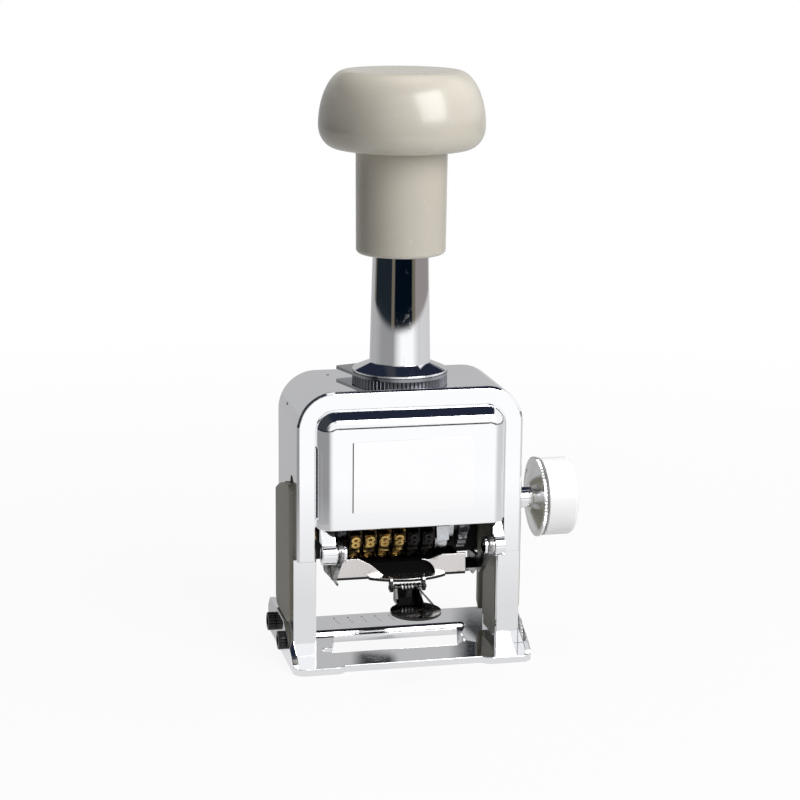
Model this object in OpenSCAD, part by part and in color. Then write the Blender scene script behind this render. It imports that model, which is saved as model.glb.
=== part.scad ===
// Self-inking numbering machine: a sprung plunger carries six type wheels down
// through an arch housing, and the ink pad swings out of their way.
// Millimetres. X runs to the right, Y to the back, Z up. The origin is on the
// plunger's axis, on the table.

/* [Housing] */
// Width over the arch housing
house_w = 60; // [58:0.5:74]
// Depth of the arch housing
house_d = 28.8; // [28.4:0.2:36]
// Height of the top of the arch above the table
house_top = 73.2; // [72:0.2:88]
// Height of the seam between the legs and the arch
seam_z = 28.3; // [26:0.1:33]
// Width of the arch's face on each side
frame_w = 5.1; // [4.5:0.1:5.8]
// Thickness of the arch's front and rear faces
frame_t = 2.4; // [1.8:0.1:2.6]
// Wall of the arch between its faces
house_wall = 2; // [1.6:0.1:2.6]
// Radius of the arch's top corners
arch_r = 10; // [8:0.5:14]
// Bevel along the arch's outer edges
arch_bevel = 0.6; // [0.3:0.1:1]

/* [Covers] */
// Height of the lower edge of the front cover
cover_z = 37.5; // [34:0.5:44]
// How far the front cover bulges from the arch, and the radius of its edges
cover_bulge = 3.8; // [2.4:0.1:4.4]
// How far the rear cover bulges
rear_bulge = 1.6; // [1.2:0.1:2.4]
// Sheet thickness of the covers
cover_t = 1; // [0.8:0.1:1.2]
// Width of the bare label plate
label_w = 32; // [20:1:38]
// Height of the bare label plate
label_h = 19; // [10:1:20]

/* [Base and legs] */
// Depth of the base plate
base_d = 41.2; // [38:0.2:50]
// Thickness of the base plate
base_t = 1.8; // [1.4:0.1:2]
// Height of the side flanges at the back
flange_h = 9.5; // [8:0.5:11]
// Thickness of the side flanges
flange_t = 1.5; // [1:0.1:2]
// Left end of the print window at its back edge
window_x0 = -16.8; // [-19:0.1:-16.6]
// Right end of the print window at its back edge
window_x1 = 17.4; // [14:0.1:19]
// How far the window's front edge is set off to the left
window_skew = 3.2; // [0:0.1:4]
// Depth of the print window
window_d = 13.4; // [12.6:0.1:14]
// Width of a leg's front face
leg_w = 6; // [5:0.1:6.4]
// Thickness of a leg's front face
leg_t = 2; // [1.5:0.1:2.4]

/* [Handle] */
// Height of the top of the knob
knob_top = 153.7; // [148:0.1:180]
// Largest radius of the knob
knob_r = 21.6; // [18:0.1:27]
// Height of the knob's head
head_h = 20; // [17:0.5:23]
// Radius of the flat on top of the knob
flat_r = 14.6; // [10:0.2:17]
// Radius of the knob's sleeve
sleeve_r = 11.9; // [11.6:0.05:14]
// Height of the sleeve's lower edge
sleeve_z = 106.5; // [104:0.1:112]
// Radius of the neck at its foot
neck_foot_r = 7.98; // [7.9:0.01:8.6]
// Radius of the neck at its top
neck_top_r = 7.07; // [7:0.01:7.6]
// Height of the neck's top
neck_top = 119; // [112:0.5:120]
// Radius of the plunger rod
rod_r = 3; // [2.5:0.1:3.3]

/* [Selector] */
// Radius of the selector plate
selector_r = 12.6; // [12:0.1:14]
// Reach of the selector's tab from the plunger's axis
tab_reach = 17.4; // [16:0.1:20]
// Thickness of the selector plate
selector_t = 0.8; // [0.7:0.1:1.2]
// Height of the click ring below it
click_h = 1.3; // [0.8:0.1:1.5]

/* [Numbering head] */
// Height of the wheel shaft above the table
shaft_z = 35.1; // [34.6:0.1:37]
// How far the wheel shaft lies in front of the plunger's axis
shaft_front = 3.5; // [3:0.1:4]
// Radius at the face of the type
type_r = 9.3; // [8.6:0.1:9.4]
// Height of the figures on the type blocks
figure_h = 0.5; // [0.3:0.1:0.6]
// Pitch of the wheels along the shaft
wheel_pitch = 3.9; // [3.3:0.05:4]
// Width of a wheel's ratchet
ratchet_w = 0.9; // [0.8:0.05:1]
// Radius over the ratchet teeth
ratchet_r = 7.5; // [7:0.1:7.8]
// Centre of the first wheel
wheel_x0 = -13.6; // [-13.6:0.1:-12]
// Radius of the wheel shaft
shaft_r = 2; // [1.6:0.1:2.2]

/* [Ink pad] */
// Height of the pad pivot above the table
pivot_z = 31.3; // [30.8:0.1:32.4]
// How far the pad pivot lies in front of the plunger's axis
pivot_front = 17.6; // [17:0.1:19]
// Depth of the pad tray, front to back
tray_d = 14; // [13:0.5:15]
// Height of the tray's front wall
tray_h = 5.6; // [4.6:0.1:5.8]
// Diameter of the finger tab's disc
tab_disc_d = 13.2; // [11:0.2:16]
// Length of the finger tab, from its pin to the centre of its disc
tab_len = 9.8; // [8:0.1:12]
// Slope of the finger tab below level
tab_slope = 1; // [0:1:20]

/* [Side knob] */
// Height of the side knob's axis
dial_z = 38.9; // [38:0.1:41]
// Radius of the side knob
dial_r = 10.5; // [8:0.1:13]
// Length of the side knob
dial_len = 8; // [6:0.1:14]
// Radius of the toothed disc behind the side knob
disc_r = 10.8; // [8:0.1:13.5]

/* [Clearances] */
// Radial running clearance of shafts and pins
run_gap = 0.05; // [0.02:0.01:0.1]
// Clearance between neighbouring pieces
side_gap = 0.2; // [0.1:0.05:0.25]
// Clearance between pieces that pass each other
pass_gap = 0.3; // [0.3:0.05:0.5]

/* [Hidden] */
$fn = 64;

WHEELS = 6;
FIGURES = 10;
half_w = house_w / 2;
face_y = -house_d / 2;
opening_x = half_w - frame_w;
opening_top = house_top - frame_w;
corner_x = half_w - arch_r;
corner_z = house_top - arch_r;
opening_r = arch_r - frame_w;
opening_bevel = 0.5;
wall_in_x = half_w - house_wall;
label_z = 51.3;
rear_screw_x = opening_x - 5;
rear_screw_z = seam_z + 4;
rear_screw_r = 1.2;

leg_out_x = half_w + 0.5;
leg_in_x = leg_out_x - leg_w;
leg_y = face_y + frame_t + side_gap;
leg_back_y = house_d / 2 - frame_t - side_gap;
tenon_h = 10;
foot_h = flange_h - base_t - 1.5;

flange_x = leg_out_x + flange_t;
flange_front_y = -base_d / 2 + 3.6;
flange_knee_y = -4.8;
corner_base_r = 3;
foot_reach = 1.5;
window_y = -shaft_front - 0.1;
bead_y = 5.4;
bead_r = 1.1;
bead_x0 = -22;
bead_x1 = 19.3;
stop_r = 0.45;
screw_head_r = 2.5;
screw_head_h = 2;
low_head_r = 2.2;
low_head_h = 0.6;
screw_r = 1.5;
base_screw_ys = [-7.2, 9];
base_screw_z = 5.2;

guide_in_x = leg_in_x - 0.2;
guide_out_x = half_w + 1.3;
guide_y0 = leg_y + leg_t + side_gap;
guide_y1 = leg_back_y - 0.3;
guide_z0 = base_t + 1.7;
guide_z1 = 52;
panel_y0 = guide_y0;
panel_y1 = guide_y1 - 0.4;
panel_z0 = flange_h + 0.4;
panel_z1 = 47.9;
panel_r = 3;
crown_r = 50;
crown_y = -12.5;
groove_y0 = 4.8;
groove_y1 = 9.2;
groove_deep = 2;

selector_z = house_top + click_h + 0.1;
flange_z = selector_z + selector_t + 0.1;
neck_flange_r = selector_r - 0.15;
neck_flange_h = 1.9;
neck_rim_h = 0.5;
neck_tube_r = 9;
neck_bore_r = 6.2;
bush_r = neck_bore_r - run_gap;
bush_top = flange_z + 2.4;

head_z = knob_top - head_h;
cavity_r = 8.8;
cavity_top = head_z + 12.2;
insert_r = 5.4;
insert_top = cavity_top + 5;
spigot_r = 10.6;
spigot_h = 5;

pack_x0 = wheel_x0 - wheel_pitch / 2 + side_gap;
drum_w = wheel_pitch - ratchet_w - pass_gap;
pack_x1 = wheel_x0 + (WHEELS - 0.5) * wheel_pitch + 0.1;
repeat_w = 4.9;
star_w = 3.4;
repeat_x1 = pack_x1 + repeat_w;
feed_t = 0.9;
sector_w = 2.2;
feed_left_x = pack_x0 - feed_t - 0.3;
feed_right_x = repeat_x1 + pass_gap;
sector_x = feed_right_x + feed_t;
cheek_t = 1.2;
cheek_left_x = feed_left_x - side_gap - cheek_t;
cheek_right_x = sector_x + sector_w + side_gap;
cheek_top = 62;
cheek_half_y = 6.5;
cheek_r = 4.6;
bridge_t = 2.6;
bridge_z = cheek_top - bridge_t;
rod_foot_r = rod_r - 0.6;
drum_r = 6.8;
block_r = type_r - figure_h;
block_w = 3.9;
bore_r = shaft_r + run_gap;
clip_t = 0.5;
shaft_neck_r = shaft_r - 0.3;
shoe_z0 = 46;
shoe_z1 = 56;
shoe_x = guide_in_x + groove_deep - 0.15;

pawl_pin_y = 11;
pawl_pin_z = 7.4;
pawl_pin_r = 1;
pawl_w = 0.7;
pawl_tip_r = ratchet_r + pass_gap;
feed_arm_r = norm([pawl_pin_y, pawl_pin_z]);
feed_arm_a = atan2(pawl_pin_z, pawl_pin_y);

arm_t = 1.2;
arm_x = 18.8;
arm_shift = 1;
pivot_r = 1.45;
knuckle_r = 2.9;
knuckle_gap = 0.6;
knuckle_x1 = opening_x - 0.7;
knuckle_bore = 2;
tray_top_gap = 0.15;
tray_t = 0.8;
tray_z = shaft_z - type_r - 4.1;
tray_y0 = -shaft_front - tray_d / 2;
tray_y1 = tray_y0 + tray_d;
tray_x0 = -arm_x;
tray_x1 = 16;
pad_z = tray_z + tray_t;
pad_top = shaft_z - type_r - tray_top_gap;
tab_y = tray_y0 - 4.6;
tab_z = tray_z - 1.3;
tab_pin_r = 0.5;
tab_x = -0.8;
tab_w = 7.9;
tab_t = 0.7;
tab_drop = 3.1;
ear_t = 0.7;

stud_r = 2.85;
journal_r = stud_r - 0.9;
dial_x = guide_out_x + 6.4;
disc_t = 0.6;
knob_x = dial_x + disc_t + 0.9;

// Shapes -------------------------------------------------------------------

// An outline in the Y-Z plane, carried along X from x0 to x1
module along_x(x0, x1) {
    translate([x0, 0, 0])
        rotate([90, 0, 90])
            linear_extrude(x1 - x0)
                children();
}

// An outline in the X-Z plane, carried along Y from y0 to y1
module along_y(y0, y1) {
    translate([0, y1, 0])
        rotate([90, 0, 0])
            linear_extrude(y1 - y0)
                children();
}

// A round bar along X through the point y, z
module rod_x(x0, x1, r, y, z) {
    translate([x0, y, z])
        rotate([0, 90, 0])
            cylinder(h = x1 - x0, r = r);
}

// A box between two corners
module block(low, high) {
    translate(low) cube(high - low);
}

// A rectangle between two corners with its corners rounded
module round_rect(low, high, r) {
    size = high - low;
    translate(low + [r, 0]) square([size[0] - 2 * r, size[1]]);
    translate(low + [0, r]) square([size[0], size[1] - 2 * r]);
    for (x = [r, size[0] - r], y = [r, size[1] - r])
        translate(low + [x, y]) circle(r = r);
}

// A straight bar of one width between two points, with round ends
module bar(a, b, r) {
    d = b - a;
    translate(a) circle(r = r);
    translate(b) circle(r = r);
    translate(a)
        rotate(atan2(d[1], d[0]))
            translate([0, -r]) square([norm(d), 2 * r]);
}

// A section (distance from the corner's centre, depth) swept up the left side,
// over both round corners and down the right side, down to the height z0
module over_arch(z0) {
    for (side = [-1, 1])
        translate([side * corner_x, 0, z0])
            rotate(side > 0 ? 0 : 180)
                mirror([0, side > 0 ? 0 : 1, 0])
                    linear_extrude(corner_z - z0) children();
    for (side = [0, 1])
        mirror([side, 0, 0])
            translate([corner_x, 0, corner_z])
                rotate([90, 0, 0])
                    mirror([0, 0, 1])
                        rotate_extrude(angle = 90) children();
    translate([-corner_x, 0, corner_z])
        rotate([90, 0, 90])
            linear_extrude(2 * corner_x)
                rotate(90) mirror([0, 1]) children();
}

// Points of a ring of saw teeth
function saw_teeth(count, root, tip) = [
    for (i = [0 : count - 1], p = [[root, 0.06], [tip, 0.92]])
        let (a = 360 / count * (i + p[1])) p[0] * [cos(a), sin(a)]
];

// Rings of points round a path that is given as a list of points
function tube_ring(path, i, r, sides) =
    let (
        last = len(path) - 1,
        ahead = path[min(i + 1, last)] - path[max(i - 1, 0)],
        along = ahead / norm(ahead),
        guess = abs(along[0]) > 0.9 ? [0, 0, 1] : [1, 0, 0],
        side = cross(along, guess) / norm(cross(along, guess)),
        up = cross(side, along)
    )
    [for (k = [0 : sides - 1]) path[i] + r * (side * cos(360 * k / sides) + up * sin(360 * k / sides))];

// A wire of radius r along a path
module wire(path, r, sides = 6) {
    rings = len(path);
    points = [for (i = [0 : rings - 1]) each tube_ring(path, i, r, sides)];
    walls = [
        for (i = [0 : rings - 2], k = [0 : sides - 1])
            [i * sides + k, i * sides + (k + 1) % sides,
             (i + 1) * sides + (k + 1) % sides, (i + 1) * sides + k]
    ];
    start = [for (k = [sides - 1 : -1 : 0]) k];
    end = [for (k = [0 : sides - 1]) (rings - 1) * sides + k];
    polyhedron(points = points, faces = concat(walls, [start, end]), convexity = 10);
}

// Base and legs ------------------------------------------------------------

module base_outline() {
    difference() {
        union() {
            round_rect([-flange_x, -base_d / 2], [flange_x, base_d / 2], corner_base_r);
            for (side = [-1, 1])
                translate([side * (flange_x - 7), 0])
                    round_rect([-7, -base_d / 2 - foot_reach], [7, 0], corner_base_r);
        }
        translate([0, window_y])
            polygon([
                [window_x0, window_d / 2], [window_x1, window_d / 2],
                [window_x1 - window_skew, -window_d / 2], [window_x0 - window_skew, -window_d / 2]
            ]);
        translate([window_x0 - window_skew - 0.4, window_y - 4]) circle(r = 1.5);
    }
}

module flange_outline() {
    difference() {
        polygon([
            [-base_d / 2 + 1.2, 0], [base_d / 2 - 1, 0], [base_d / 2 - 1, flange_h - 3],
            [base_d / 2 - 4, flange_h], [flange_knee_y, flange_h],
            [flange_front_y, 3.9], [-base_d / 2 + 1.2, 2.2]
        ]);
        for (y = base_screw_ys)
            translate([y, base_screw_z]) circle(r = screw_r + run_gap);
    }
}

// Half-round rib on the plate along a line of points
module rib(points, r) {
    for (p = points)
        translate([p[0], p[1], base_t]) sphere(r = r);
    for (i = [1 : len(points) - 1]) {
        a = points[i - 1];
        d = points[i] - a;
        translate([a[0], a[1], base_t])
            rotate([0, 90, atan2(d[1], d[0])]) cylinder(h = norm(d), r = r);
    }
}

// Plate with the print window, side flanges, a stiffening bead and a bent stop
// beside the window
module base_plate() {
    color("silver") {
        linear_extrude(base_t) base_outline();
        along_x(-flange_x, -leg_out_x) flange_outline();
        along_x(leg_out_x, flange_x) flange_outline();
        rib([[bead_x0, bead_y], [bead_x1, bead_y]], bead_r);
        rib([[window_x1 + 0.6, 0.4], [window_x1 - 0.6, -7], [window_x1 + 2.8, -9]], stop_r);
    }
}

// Knurled heads on the left and low heads on the right
module base_screws() {
    color([0.08, 0.08, 0.08])
        for (y = base_screw_ys) {
            rod_x(-flange_x - screw_head_h, -flange_x, screw_head_r, y, base_screw_z);
            rod_x(-flange_x, -leg_out_x + 3, screw_r, y, base_screw_z);
            rod_x(flange_x, flange_x + low_head_h, low_head_r, y, base_screw_z);
            rod_x(leg_out_x - 3, flange_x, screw_r, y, base_screw_z);
        }
}

// Outline of the guide's panel, grown on all sides; its top falls to the back
module panel_outline(grow) {
    low = [panel_y0 - grow, panel_z0 - grow];
    high = [panel_y1 + grow, panel_z1 + grow];
    intersection() {
        round_rect(low, high, panel_r);
        translate([crown_y, panel_z1 - crown_r]) circle(r = crown_r + grow, $fn = 256);
    }
}

module leg_side_outline() {
    difference() {
        square([leg_back_y - leg_y, seam_z - base_t]);
        translate([panel_y0 - side_gap - leg_y, panel_z0 - side_gap - base_t])
            square([panel_y1 - panel_y0 + 2 * side_gap, seam_z]);
    }
}

// Angle-section casting with a tenon that stands inside the arch
module leg() {
    difference() {
        union() {
            block([leg_in_x, leg_y, base_t], [leg_out_x, leg_y + leg_t, seam_z]);
            block([opening_x + 0.3, leg_y, seam_z], [wall_in_x - 0.1, leg_y + leg_t, seam_z + tenon_h]);
            translate([0, leg_y, base_t])
                along_x(leg_out_x - house_wall, leg_out_x) leg_side_outline();
            block([leg_out_x - 3.5, leg_y + leg_t, base_t], [leg_out_x, leg_back_y, base_t + foot_h]);
        }
        for (y = base_screw_ys)
            rod_x(leg_out_x - 3 - pass_gap, leg_out_x + 1, screw_r + run_gap, y, base_screw_z);
    }
}

module left_leg() {
    color("gainsboro") mirror([1, 0, 0]) leg();
}

module right_leg() {
    color("gainsboro") leg();
}

// Arch housing and covers --------------------------------------------------

module arch_section() {
    d = house_d / 2;
    polygon([
        [opening_r + opening_bevel, -d], [arch_r - arch_bevel, -d], [arch_r, -d + arch_bevel],
        [arch_r, d - arch_bevel], [arch_r - arch_bevel, d], [opening_r + opening_bevel, d],
        [opening_r, d - opening_bevel], [opening_r, d - frame_t], [arch_r - house_wall, d - frame_t],
        [arch_r - house_wall, -d + frame_t], [opening_r, -d + frame_t], [opening_r, -d + opening_bevel]
    ]);
}

// Cast arch: an open frame at the front and back with a thinner wall between
module arch_housing() {
    color("lightgray")
        difference() {
            union() {
                over_arch(seam_z) arch_section();
                translate([0, 0, house_top - 6])
                    cylinder(h = 5, r = neck_tube_r + 3);
            }
            translate([0, 0, house_top - 8]) cylinder(h = 10, r = neck_tube_r + run_gap);
            along_x(-half_w - 1, half_w + 1) panel_outline(side_gap);
            rod_x(-half_w - 1, -wall_in_x + 1, 2.6, panel_y0 + 2.8, panel_z1 - 0.6);
        }
}

// Half-round edge of a formed cover: from the opening's edge to its flat face
module cover_section(bulge, y_face) {
    r = opening_r - side_gap;
    back = bulge + frame_t;
    difference() {
        union() {
            translate([r - bulge, y_face + bulge]) circle(r = bulge);
            translate([0, y_face]) square([r - bulge, back]);
            translate([0, y_face + bulge]) square([r, frame_t]);
        }
        translate([r - bulge, y_face + bulge]) circle(r = bulge - cover_t);
        translate([-1, y_face + cover_t]) square([r - bulge + 1, back]);
        translate([-1, y_face + bulge]) square([r - cover_t + 1, frame_t + 1]);
        translate([-1, y_face + back]) square([r + 2, bulge + 1]);
        translate([-bulge, y_face - 1]) square([bulge, back + 2]);
    }
}

// A sheet cover that fills an opening of the arch from z0 up, bulging to -Y
module formed_cover(bulge, z0) {
    y_face = face_y - bulge;
    over_arch(z0) cover_section(bulge, y_face);
    block([-corner_x, y_face, z0], [corner_x, y_face + cover_t, corner_z]);
}

// Inner end of the knuckle beside an arm
function knuckle_x0(arm) = arm + arm_t + knuckle_gap;

// Strap that comes down from the cover and ends in a knuckle
module knuckle_outline() {
    lug_y = face_y - 1.6;
    difference() {
        union() {
            translate([-pivot_front, pivot_z]) circle(r = knuckle_r);
            polygon([
                [lug_y, cover_z + 3], [lug_y, cover_z - 0.6],
                [-pivot_front - 1.3, pivot_z + 2.4], [-pivot_front, pivot_z],
                [lug_y + 1.2, pivot_z - 0.8], [lug_y + 1.2, cover_z + 3]
            ]);
        }
        translate([-pivot_front, pivot_z]) circle(r = pivot_r + run_gap);
    }
}

// Front cover with the two knuckles that carry the ink pad's pivots
module front_cover() {
    color("whitesmoke") {
        formed_cover(cover_bulge, cover_z);
        along_x(knuckle_x0(arm_x + arm_shift), knuckle_x1) knuckle_outline();
        along_x(-knuckle_x1, -knuckle_x0(arm_x)) knuckle_outline();
    }
}

module label_plate() {
    color([0.9, 0.9, 0.9])
        along_y(face_y - cover_bulge - 0.3, face_y - cover_bulge)
            round_rect([-label_w / 2, label_z - label_h / 2], [label_w / 2, label_z + label_h / 2], 0.6);
}

module rear_cover() {
    color("whitesmoke")
        difference() {
            rotate(180) formed_cover(rear_bulge, seam_z);
            for (side = [-1, 1])
                translate([side * rear_screw_x, 0, rear_screw_z])
                    rotate([-90, 0, 0]) cylinder(h = house_d, r = rear_screw_r + run_gap);
        }
}

module rear_cover_screws() {
    y_out = -face_y + rear_bulge;
    color("silver")
        for (side = [-1, 1])
            translate([side * rear_screw_x, 0, rear_screw_z])
                rotate([-90, 0, 0]) {
                    translate([0, 0, y_out]) cylinder(h = 1.2, r = rear_screw_r + 1);
                    translate([0, 0, y_out - 3]) cylinder(h = 3, r = rear_screw_r);
                }
}

// Moulded guide: a block inside the wall with a groove for the head's shoe,
// and a panel that fills the window in the wall
module guide() {
    difference() {
        union() {
            along_x(guide_in_x, wall_in_x)
                polygon([
                    [guide_y0, guide_z0 + 0.6], [guide_y0 + 1.4, guide_z0], [1, guide_z0],
                    [1, guide_z0 + 1.5], [guide_y1 - 2, guide_z0 + 1.5],
                    [guide_y1, guide_z0 + 3.5], [guide_y1, guide_z1], [guide_y0, guide_z1]
                ]);
            along_x(wall_in_x, guide_out_x) panel_outline(0);
        }
        block([guide_in_x - 1, groove_y0, 0], [guide_in_x + groove_deep, groove_y1, guide_z1 + 1]);
        block([guide_in_x - 1, 1, 0], [guide_in_x + 0.7, guide_y1 + 1, guide_z1 + 1]);
        block([wall_in_x - 1, guide_y0 - 1, 0], [half_w + 1, guide_y1 + 1, base_t + foot_h + side_gap]);
    }
}

module left_guide() {
    color([0.47, 0.46, 0.41]) mirror([1, 0, 0]) guide();
}

module right_guide() {
    color([0.47, 0.46, 0.41])
        difference() {
            guide();
            rod_x(guide_in_x - 1, guide_out_x + 1, stud_r + 0.8 + run_gap, 0, dial_z);
        }
}

// Neck, handle and selector ------------------------------------------------

// Tapered tube with a conical foot, seated in the top of the arch
module guide_neck() {
    color("silver")
        rotate_extrude()
            polygon([
                [neck_bore_r, house_top - 5], [neck_tube_r, house_top - 5], [neck_tube_r, flange_z],
                [neck_flange_r, flange_z], [neck_flange_r, flange_z + neck_rim_h],
                [neck_foot_r, flange_z + neck_flange_h + neck_rim_h], [neck_top_r, neck_top - 0.5],
                [neck_top_r - 0.5, neck_top], [neck_bore_r, neck_top]
            ]);
}

// Fixed ring whose notched rim gives the selector its clicks
module click_ring() {
    notches = 72;
    notch_w = 0.3;
    rim_r = selector_r - 0.1;
    color("dimgray")
        difference() {
            translate([0, 0, house_top]) cylinder(h = click_h, r = rim_r);
            translate([0, 0, house_top - 1]) cylinder(h = click_h + 2, r = neck_tube_r + run_gap);
            for (i = [0 : notches - 1])
                rotate(i * 360 / notches)
                    translate([rim_r, 0, house_top - 1])
                        rotate(45)
                            translate([-notch_w / 2, -notch_w / 2, 0]) cube([notch_w, notch_w, click_h + 2]);
        }
}

// Teardrop plate that turns round the foot of the neck
module selector_plate() {
    lean = 152;
    tip = (tab_reach - 0.9) * [cos(lean), sin(lean)];
    spread = acos((selector_r - 0.9) / (tab_reach - 0.9));
    color("silver")
        translate([0, 0, selector_z])
            difference() {
                linear_extrude(selector_t) {
                    circle(r = selector_r);
                    translate(tip) circle(r = 0.9);
                    polygon([
                        tip + 0.9 * [cos(lean - spread), sin(lean - spread)],
                        selector_r * [cos(lean - spread), sin(lean - spread)],
                        [0, 0],
                        selector_r * [cos(lean + spread), sin(lean + spread)],
                        tip + 0.9 * [cos(lean + spread), sin(lean + spread)]
                    ]);
                }
                translate([0, 0, -1]) cylinder(h = selector_t + 2, r = neck_tube_r + run_gap);
            }
}

module rod_bush() {
    color("goldenrod")
        difference() {
            union() {
                translate([0, 0, house_top - 5]) cylinder(h = bush_top - house_top + 5, r = bush_r);
                translate([0, 0, house_top - 6.5]) cylinder(h = 1.5, r = bush_r + 1.5);
            }
            translate([0, 0, house_top - 7]) cylinder(h = 30, r = rod_r + run_gap);
        }
}

// Coil spring round the rod, from the bush up to the knob
module return_spring() {
    turns = 15;
    per_turn = 14;
    coil_r = 4.7;
    wire_r = 0.45;
    low = bush_top + wire_r + 0.05;
    high = cavity_top - wire_r - 0.05;
    path = [
        for (i = [0 : turns * per_turn])
            let (
                t = i / (turns * per_turn),
                lift = min(max((t * turns - 1) / (turns - 2), 0), 1)
            )
            [coil_r * cos(360 * i / per_turn), coil_r * sin(360 * i / per_turn),
             low + lift * (high - low)]
    ];
    open_end = ceil(0.8 * per_turn);
    color("lightsteelblue")
        wire([for (i = [open_end : len(path) - 1 - open_end]) path[i]], wire_r);
}

// Outline of the head: a flat crown, a long round shoulder and a tucked-in rim
function head_profile() =
    let (
        widest = head_z + 6,
        steps = 24,
        rim_steps = 12
    )
    concat(
        [[cavity_r, head_z], [knob_r - 5, head_z]],
        [for (i = [1 : rim_steps])
            let (a = 90 * i / rim_steps)
                [knob_r - 5 + 5 * sin(a), widest - (widest - head_z) * cos(a)]],
        [for (i = [1 : steps])
            let (a = 90 * i / steps)
                [flat_r + (knob_r - flat_r) * pow(cos(a), 1.1),
                 widest + (knob_top - widest) * sin(a)]],
        [[0, knob_top], [0, insert_top], [insert_r, insert_top], [insert_r, cavity_top],
         [cavity_r, cavity_top]]
    );

module knob_head() {
    color([0.75, 0.73, 0.68])
        difference() {
            rotate_extrude($fn = 96) polygon(head_profile());
            translate([0, 0, head_z - 1]) cylinder(h = spigot_h + 1.1, r = spigot_r + run_gap);
        }
}

module knob_sleeve() {
    lip = 1.2;
    color([0.75, 0.73, 0.68])
        rotate_extrude($fn = 96)
            difference() {
                union() {
                    polygon([
                        [cavity_r, sleeve_z + lip], [sleeve_r - 0.2, sleeve_z + lip],
                        [sleeve_r, head_z], [spigot_r, head_z],
                        [spigot_r, head_z + spigot_h], [cavity_r, head_z + spigot_h]
                    ]);
                    translate([cavity_r + 0.6, sleeve_z]) square([sleeve_r - cavity_r - 2, lip + 0.1]);
                    translate([sleeve_r - 0.2 - lip, sleeve_z + lip]) circle(r = lip);
                }
                translate([cavity_r - 5, sleeve_z - 1]) square([5, 60]);
            }
}

module knob_insert() {
    color("goldenrod")
        difference() {
            translate([0, 0, cavity_top]) cylinder(h = insert_top - cavity_top, r = insert_r);
            translate([0, 0, cavity_top - 1]) cylinder(h = insert_top - cavity_top + 0.6, r = rod_r);
        }
}

module plunger_rod() {
    collar_h = 1.2;
    color("lightsteelblue") {
        translate([0, 0, cheek_top + collar_h])
            cylinder(h = insert_top - cheek_top - collar_h - 0.6, r = rod_r);
        translate([0, 0, cheek_top]) cylinder(h = collar_h, r = rod_r + 1.5);
        translate([0, 0, bridge_z - 3.4]) cylinder(h = bridge_t + 3.5, r = rod_foot_r);
    }
}

module rod_nut() {
    nut_h = 2.8;
    color("silver")
        difference() {
            translate([0, 0, bridge_z - nut_h]) cylinder(h = nut_h, r = 4.3, $fn = 6);
            translate([0, 0, bridge_z - 4]) cylinder(h = 5, r = rod_foot_r);
        }
}

// Numbering head -----------------------------------------------------------

module cheek_outline() {
    difference() {
        union() {
            translate([-shaft_front, shaft_z]) circle(r = cheek_r);
            polygon([
                [-shaft_front - cheek_r, shaft_z], [-shaft_front + cheek_r, shaft_z],
                [cheek_half_y, shaft_z + 9], [cheek_half_y + 2.6, shoe_z0 - 1],
                [cheek_half_y + 2.6, shoe_z1 + 1], [cheek_half_y, shoe_z1 + 2],
                [cheek_half_y, cheek_top], [-cheek_half_y, cheek_top],
                [-cheek_half_y - 2, shaft_z + 14]
            ]);
        }
        translate([-shaft_front, shaft_z]) circle(r = bore_r);
        translate([-2.5, shaft_z + 14]) circle(r = 2.6);
    }
}

module left_cheek() {
    color("slategray")
        along_x(cheek_left_x, cheek_left_x + cheek_t) cheek_outline();
}

module right_cheek() {
    color("slategray")
        along_x(cheek_right_x, cheek_right_x + cheek_t) cheek_outline();
}

// Cross plate between the cheeks, screwed to the foot of the rod
module bridge() {
    color("slategray")
        difference() {
            block([cheek_left_x + cheek_t, -cheek_half_y, bridge_z], [cheek_right_x, cheek_half_y, cheek_top]);
            translate([0, 0, bridge_z - 1]) cylinder(h = bridge_t + 2, r = rod_foot_r);
        }
}

// Shoes on the cheeks that run in the grooves of the side guides
module guide_shoes() {
    color("silver") {
        block([cheek_right_x + cheek_t, groove_y0 + 0.3, shoe_z0], [shoe_x, groove_y1 - 0.3, shoe_z1]);
        block([-shoe_x, groove_y0 + 0.3, shoe_z0], [cheek_left_x, groove_y1 - 0.3, shoe_z1]);
    }
}

module wheel_shaft() {
    color("lightsteelblue")
        difference() {
            rod_x(cheek_left_x - 0.9, cheek_right_x + cheek_t + 0.75, shaft_r, -shaft_front, shaft_z);
            for (x = [cheek_left_x - clip_t, cheek_right_x + cheek_t])
                translate([x, -shaft_front, shaft_z])
                    rotate([0, 90, 0])
                        difference() {
                            cylinder(h = clip_t, r = shaft_r + 1);
                            translate([0, 0, -1]) cylinder(h = 3, r = shaft_neck_r);
                        }
        }
}

module shaft_clips() {
    color("dimgray")
        for (x = [cheek_left_x - clip_t, cheek_right_x + cheek_t])
            translate([x, -shaft_front, shaft_z])
                rotate([0, 90, 0])
                    difference() {
                        cylinder(h = clip_t, r = shaft_r + 0.9);
                        translate([0, 0, -1]) cylinder(h = 3, r = shaft_neck_r);
                        translate([0, -0.8, -1]) cube([4, 1.6, 3]);
                    }
}

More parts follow.
